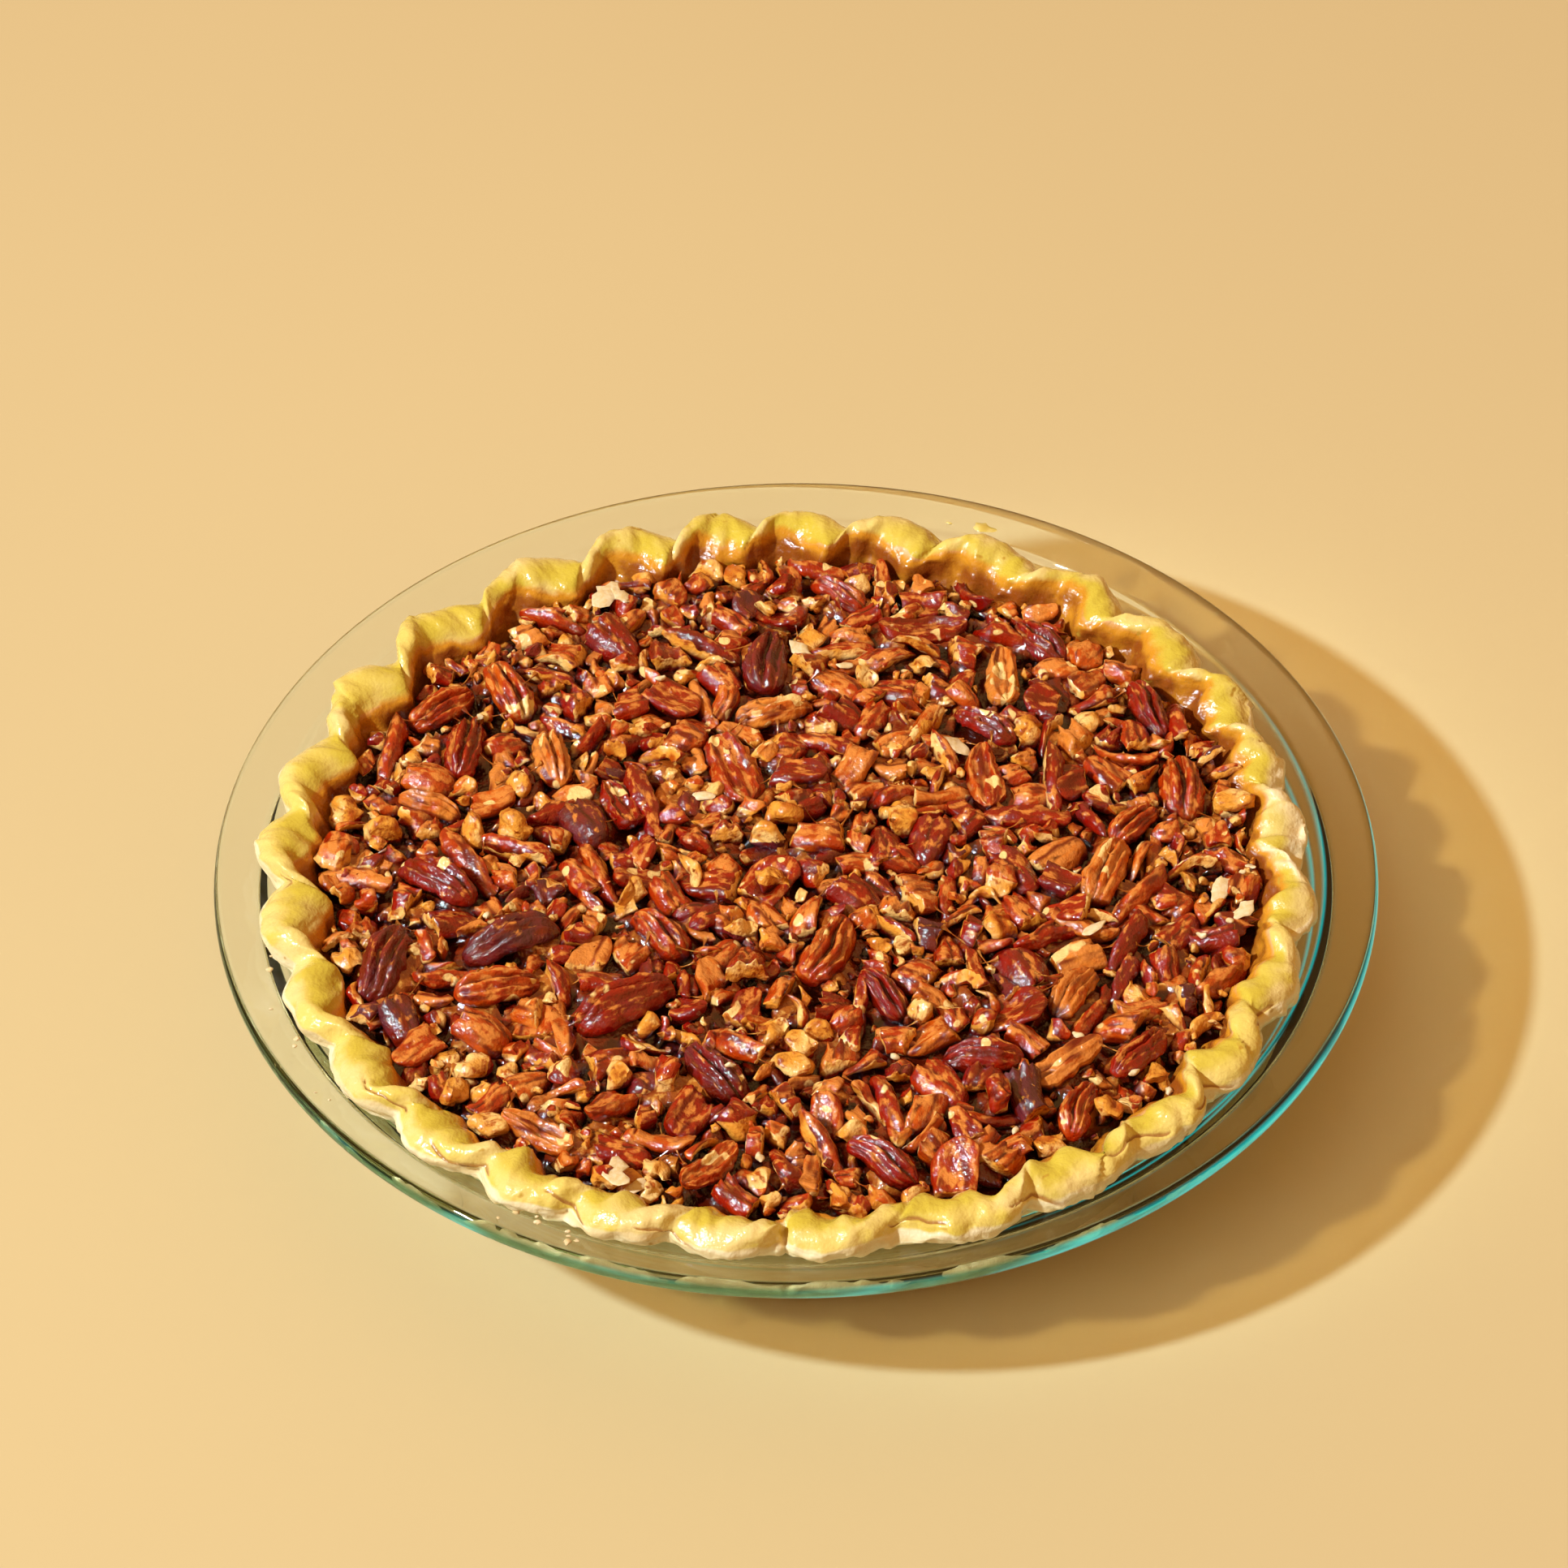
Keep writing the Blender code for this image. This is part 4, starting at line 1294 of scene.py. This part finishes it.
def make_glass_crumbs(flake):
    """Crumbs that fell on the dish's flange."""
    rng = random.Random(31)
    bits = []
    for _ in range(22):
        angle = math.radians(rng.uniform(192.0, 250.0))
        out = rng.uniform(115.5, 122.5) * MM
        x, y = out * math.cos(angle), out * math.sin(angle)
        size = rng.uniform(0.6, 1.5) * MM
        points, faces = ragged(size, size * rng.uniform(0.6, 1.0), size * 0.6, rng)
        bits.append((points + np.array([x, y, flange_top(x, y) + 0.22 * size]), faces))
    hand_over(join_bits("crumbs_on_glass", bits, flake))


def make_egg_drips():
    """Drips of egg wash on the far side of the flange."""
    rng = random.Random(8)
    bits = []
    for x, y, length in EGG_DRIPS:
        x, y = x * MM, y * MM
        points, faces = ragged(length * MM, 0.55 * length * MM, 0.5 * MM, rng)
        points = turned_points(points, math.atan2(-x, y), 0.0, 0.0)
        bits.append((points + np.array([x, y, flange_top(x, y) + 0.15 * MM]), faces))
    hand_over(join_bits("egg_wash_drips", bits, egg_finish()))


def thread(start, end, rng):
    """A thin strand of syrup drawn between two nuts, thick at its ends."""
    along = np.linspace(0.0, 1.0, THREAD_RINGS)
    middle = start + (end - start) * along[:, None]
    middle[:, 2] -= rng.uniform(0.2, 0.9) * MM * 4.0 * along * (1.0 - along)
    radius = (0.11 + rng.uniform(0.3, 0.7) * np.abs(2.0 * along - 1.0) ** 3) * MM
    heading = Vector(end - start).normalized()
    side = heading.cross(Vector((0, 0, 1))).normalized()
    lift = side.cross(heading)
    turn = np.arange(THREAD_SIDES) * 2.0 * math.pi / THREAD_SIDES
    ring = np.cos(turn)[:, None] * np.array(side) + np.sin(turn)[:, None] * np.array(lift)
    points = (middle[:, None, :] + radius[:, None, None] * ring[None, :, :]).reshape(-1, 3)
    faces = []
    for k in range(THREAD_RINGS - 1):
        for i in range(THREAD_SIDES):
            a, b = k * THREAD_SIDES + i, k * THREAD_SIDES + (i + 1) % THREAD_SIDES
            faces += [(a, b, b + THREAD_SIDES), (a, b + THREAD_SIDES, a + THREAD_SIDES)]
    last = (THREAD_RINGS - 1) * THREAD_SIDES
    for i in range(1, THREAD_SIDES - 1):
        faces += [(0, i + 1, i), (last, last + i, last + i + 1)]
    return points, np.array(faces)


def make_threads(ground, syrup):
    """Strands of syrup across the gaps between nuts."""
    rng = random.Random(44)
    bits = []
    while len(bits) < 170:
        x, y = chopped_place(rng, 96 * MM)
        angle, reach = rng.uniform(0.0, 6.3), rng.uniform(1.6, 3.4) * MM
        step = np.array([math.cos(angle), math.sin(angle)]) * reach
        ends = np.array([[x, y] - step, [x, y] + step])
        heights = ground.top(ends[:, 0], ends[:, 1])
        gap = ground.top(np.array([x]), np.array([y]))[0]
        if heights.min() - gap < 1.3 * MM or abs(heights[0] - heights[1]) > 2.5 * MM:
            continue
        start, end = (np.array([*place, height - 0.45 * MM]) for place, height in zip(ends, heights))
        bits.append(thread(start, end, rng))
    threads = join_bits("syrup_threads", bits, syrup)
    keep_value(threads, "film", np.full(len(threads.data.vertices), 0.9))
    smooth(threads)
    hand_over(threads)


# ---------------------------------------------------------------- building materials

def new_finish(name):
    finish = bpy.data.materials.new(name)
    finish.use_nodes = True
    tree = finish.node_tree
    return finish, tree.nodes, tree.links, tree.nodes["Principled BSDF"]


def object_place(nodes):
    return nodes.new("ShaderNodeTexCoord").outputs["Object"]


def attribute(nodes, name):
    node = nodes.new("ShaderNodeAttribute")
    node.attribute_name = name
    return node


def stretched(nodes, links, vector, scale):
    node = nodes.new("ShaderNodeMapping")
    node.inputs["Scale"].default_value = scale
    links.new(vector, node.inputs["Vector"])
    return node.outputs["Vector"]


def noise_node(nodes, links, vector, size, detail=2.0):
    """Noise from 0 to 1 with grains of about the given size."""
    node = nodes.new("ShaderNodeTexNoise")
    node.inputs["Scale"].default_value = 0.5 / size
    node.inputs["Detail"].default_value = detail
    links.new(vector, node.inputs["Vector"])
    return node.outputs["Fac"]


def grain_group():
    """Fine grain of a baked or sugary surface: its relief and its uneven gloss."""
    group = bpy.data.node_groups.get("fine_grain")
    if group:
        return group
    group = bpy.data.node_groups.new("fine_grain", "ShaderNodeTree")
    for name, kind in (("Place", "NodeSocketVector"), ("Scale", "NodeSocketFloat"),
                       ("Shine", "NodeSocketFloat"), ("Dull", "NodeSocketFloat")):
        group.interface.new_socket(name, in_out="INPUT", socket_type=kind)
    for name in ("Height", "Roughness"):
        group.interface.new_socket(name, in_out="OUTPUT", socket_type="NodeSocketFloat")
    nodes, links = group.nodes, group.links
    enter, leave = nodes.new("NodeGroupInput"), nodes.new("NodeGroupOutput")
    grain = nodes.new("ShaderNodeTexNoise")
    grain.inputs["Detail"].default_value = 3.0
    links.new(enter.outputs["Place"], grain.inputs["Vector"])
    links.new(enter.outputs["Scale"], grain.inputs["Scale"])
    links.new(scaled(nodes, links, grain.outputs["Fac"], 0.6, 0.0), leave.inputs["Height"])
    gloss = nodes.new("ShaderNodeMapRange")
    gloss.inputs["From Min"].default_value = 0.3
    gloss.inputs["From Max"].default_value = 0.7
    links.new(grain.outputs["Fac"], gloss.inputs["Value"])
    links.new(enter.outputs["Shine"], gloss.inputs["To Min"])
    links.new(enter.outputs["Dull"], gloss.inputs["To Max"])
    links.new(gloss.outputs["Result"], leave.inputs["Roughness"])
    return group


def grained(nodes, links, place, size, shine, dull):
    """The fine grain in one material, with grains of about the given size."""
    node = nodes.new("ShaderNodeGroup")
    node.node_tree = grain_group()
    links.new(place, node.inputs["Place"])
    node.inputs["Scale"].default_value = 0.5 / size
    node.inputs["Shine"].default_value = shine
    node.inputs["Dull"].default_value = dull
    return node


def scaled(nodes, links, value, factor, offset):
    node = nodes.new("ShaderNodeMath")
    node.operation = "MULTIPLY_ADD"
    links.new(value, node.inputs[0])
    node.inputs[1].default_value = factor
    node.inputs[2].default_value = offset
    return node.outputs[0]


def add(nodes, links, first, second):
    node = nodes.new("ShaderNodeMath")
    node.operation = "ADD"
    links.new(first, node.inputs[0])
    links.new(second, node.inputs[1])
    return node.outputs[0]


def spread(nodes, links, value, at_low, at_high, low=0.3, high=0.7):
    node = nodes.new("ShaderNodeMapRange")
    links.new(value, node.inputs["Value"])
    node.inputs["From Min"].default_value = low
    node.inputs["From Max"].default_value = high
    node.inputs["To Min"].default_value = at_low
    node.inputs["To Max"].default_value = at_high
    return node.outputs["Result"]


def blend(nodes, links, value, first, second, low, high):
    """The first colour below low, the second above high, and a smooth change between."""
    share = nodes.new("ShaderNodeMapRange")
    share.interpolation_type = "SMOOTHSTEP"
    links.new(value, share.inputs["Value"])
    share.inputs["From Min"].default_value = low
    share.inputs["From Max"].default_value = high
    mix = nodes.new("ShaderNodeMix")
    mix.data_type = "RGBA"
    links.new(share.outputs["Result"], mix.inputs["Factor"])
    for socket, colour in ((mix.inputs["A"], first), (mix.inputs["B"], second)):
        if isinstance(colour, tuple):
            socket.default_value = (*colour, 1.0)
        else:
            links.new(colour, socket)
    return mix.outputs["Result"]


def add_bump(nodes, links, shader, height, strength, distance):
    node = nodes.new("ShaderNodeBump")
    node.inputs["Strength"].default_value = strength
    node.inputs["Distance"].default_value = distance
    links.new(height, node.inputs["Height"])
    links.new(node.outputs["Normal"], shader.inputs["Normal"])


# ---------------------------------------------------------------- floor, light and camera

FLOOR_COLOUR = (0.607, 0.455, 0.232)
AIM = Vector((-2.4 * MM, 28.0 * MM, 30.0 * MM))
CAMERA_ELEVATION = 42.9
CAMERA_DISTANCE = 1.0
CAMERA_LENS = 103.06
CAMERA_ROLL = -0.5
KEY_FROM = (-0.640, -0.290, 0.712)
KEY_DISTANCE = 1.25
KEY_SIZE = 0.066
KEY_POWER = 15.6
KEY_COLOUR = (0.72, 0.87, 0.95)
SKY_STRENGTH = 0.65
SKY_COLOUR = (1.0, 0.535, 0.157)


def make_floor():
    bpy.ops.object.select_all(action="DESELECT")
    bpy.ops.mesh.primitive_plane_add(size=12.0, location=(0.0, 0.0, 0.0))
    floor = bpy.context.object
    floor.name = "floor"
    finish, nodes, links, shader = new_finish("plain_floor")
    paper = noise_node(nodes, links, object_place(nodes), 0.25, detail=2.0)
    darker = tuple(0.97 * c for c in FLOOR_COLOUR)
    links.new(blend(nodes, links, paper, FLOOR_COLOUR, darker, 0.3, 0.7),
              shader.inputs["Base Color"])
    shader.inputs["Roughness"].default_value = 0.9
    shader.inputs["Specular IOR Level"].default_value = 0.2
    floor.data.materials.append(finish)


def add_light(name, direction, distance, size, power, colour):
    """A round soft light that faces the pie from a direction, as strong near as far."""
    data = bpy.data.lights.new(name, "AREA")
    data.shape = "DISK"
    data.size = size
    data.energy = power
    data.color = colour
    lamp = bpy.data.objects.new(name, data)
    bpy.context.scene.collection.objects.link(lamp)
    towards = Vector(direction).normalized()
    lamp.location = towards * distance
    lamp.rotation_euler = towards.to_track_quat("Z", "Y").to_euler()
    data.use_nodes = True
    nodes, links = data.node_tree.nodes, data.node_tree.links
    even = nodes.new("ShaderNodeLightFalloff")
    even.inputs["Strength"].default_value = 1.0
    links.new(even.outputs["Constant"], nodes["Emission"].inputs["Strength"])


def make_sky():
    """Even warm light from all round, dimmer low down, which gives glass its dark edges."""
    world = bpy.data.worlds.new("studio")
    world.use_nodes = True
    nodes, links = world.node_tree.nodes, world.node_tree.links
    place = nodes.new("ShaderNodeTexCoord").outputs["Generated"]
    split = nodes.new("ShaderNodeSeparateXYZ")
    links.new(place, split.inputs["Vector"])
    rise = spread(nodes, links, split.outputs["Z"], 0.22, 1.0, low=0.02, high=0.36)
    strength = nodes.new("ShaderNodeMath")
    strength.operation = "MULTIPLY"
    links.new(rise, strength.inputs[0])
    strength.inputs[1].default_value = SKY_STRENGTH
    background = nodes["Background"]
    background.inputs["Color"].default_value = (*SKY_COLOUR, 1.0)
    links.new(strength.outputs[0], background.inputs["Strength"])
    bpy.context.scene.world = world


def make_light():
    add_light("key", KEY_FROM, KEY_DISTANCE, KEY_SIZE, KEY_POWER, KEY_COLOUR)
    make_sky()
    bpy.context.scene.view_settings.view_transform = "Standard"
    bpy.context.scene.view_settings.look = "None"


def make_camera():
    data = bpy.data.cameras.new("camera")
    data.lens = CAMERA_LENS
    data.sensor_width = 36.0
    data.clip_start, data.clip_end = 0.05, 30.0
    camera = bpy.data.objects.new("camera", data)
    bpy.context.scene.collection.objects.link(camera)
    rise = math.radians(CAMERA_ELEVATION)
    back = Vector((0.0, -math.cos(rise), math.sin(rise)))
    camera.location = AIM + back * CAMERA_DISTANCE
    facing = back.to_track_quat("Z", "Y").to_matrix()
    roll = Matrix.Rotation(math.radians(CAMERA_ROLL), 3, "Z")
    camera.rotation_euler = (facing @ roll).to_euler()
    bpy.context.scene.camera = camera


def main():
    make_dish()
    crust = make_crust()
    nuts = nut_finish()
    ground = Ground()
    ground.raise_over(points_of(crust))
    pieces = make_halves(ground, nuts) + make_chopped(ground, nuts)
    ground.settle()
    for piece in pieces:
        soak_and_shade(piece, ground)
    filling = make_filling(ground)
    make_threads(ground, filling.data.materials[0])
    flake = pastry_bit_finish()
    make_flakes(ground, flake)
    make_glass_crumbs(flake)
    make_egg_drips()
    make_floor()
    make_light()
    make_camera()


main()
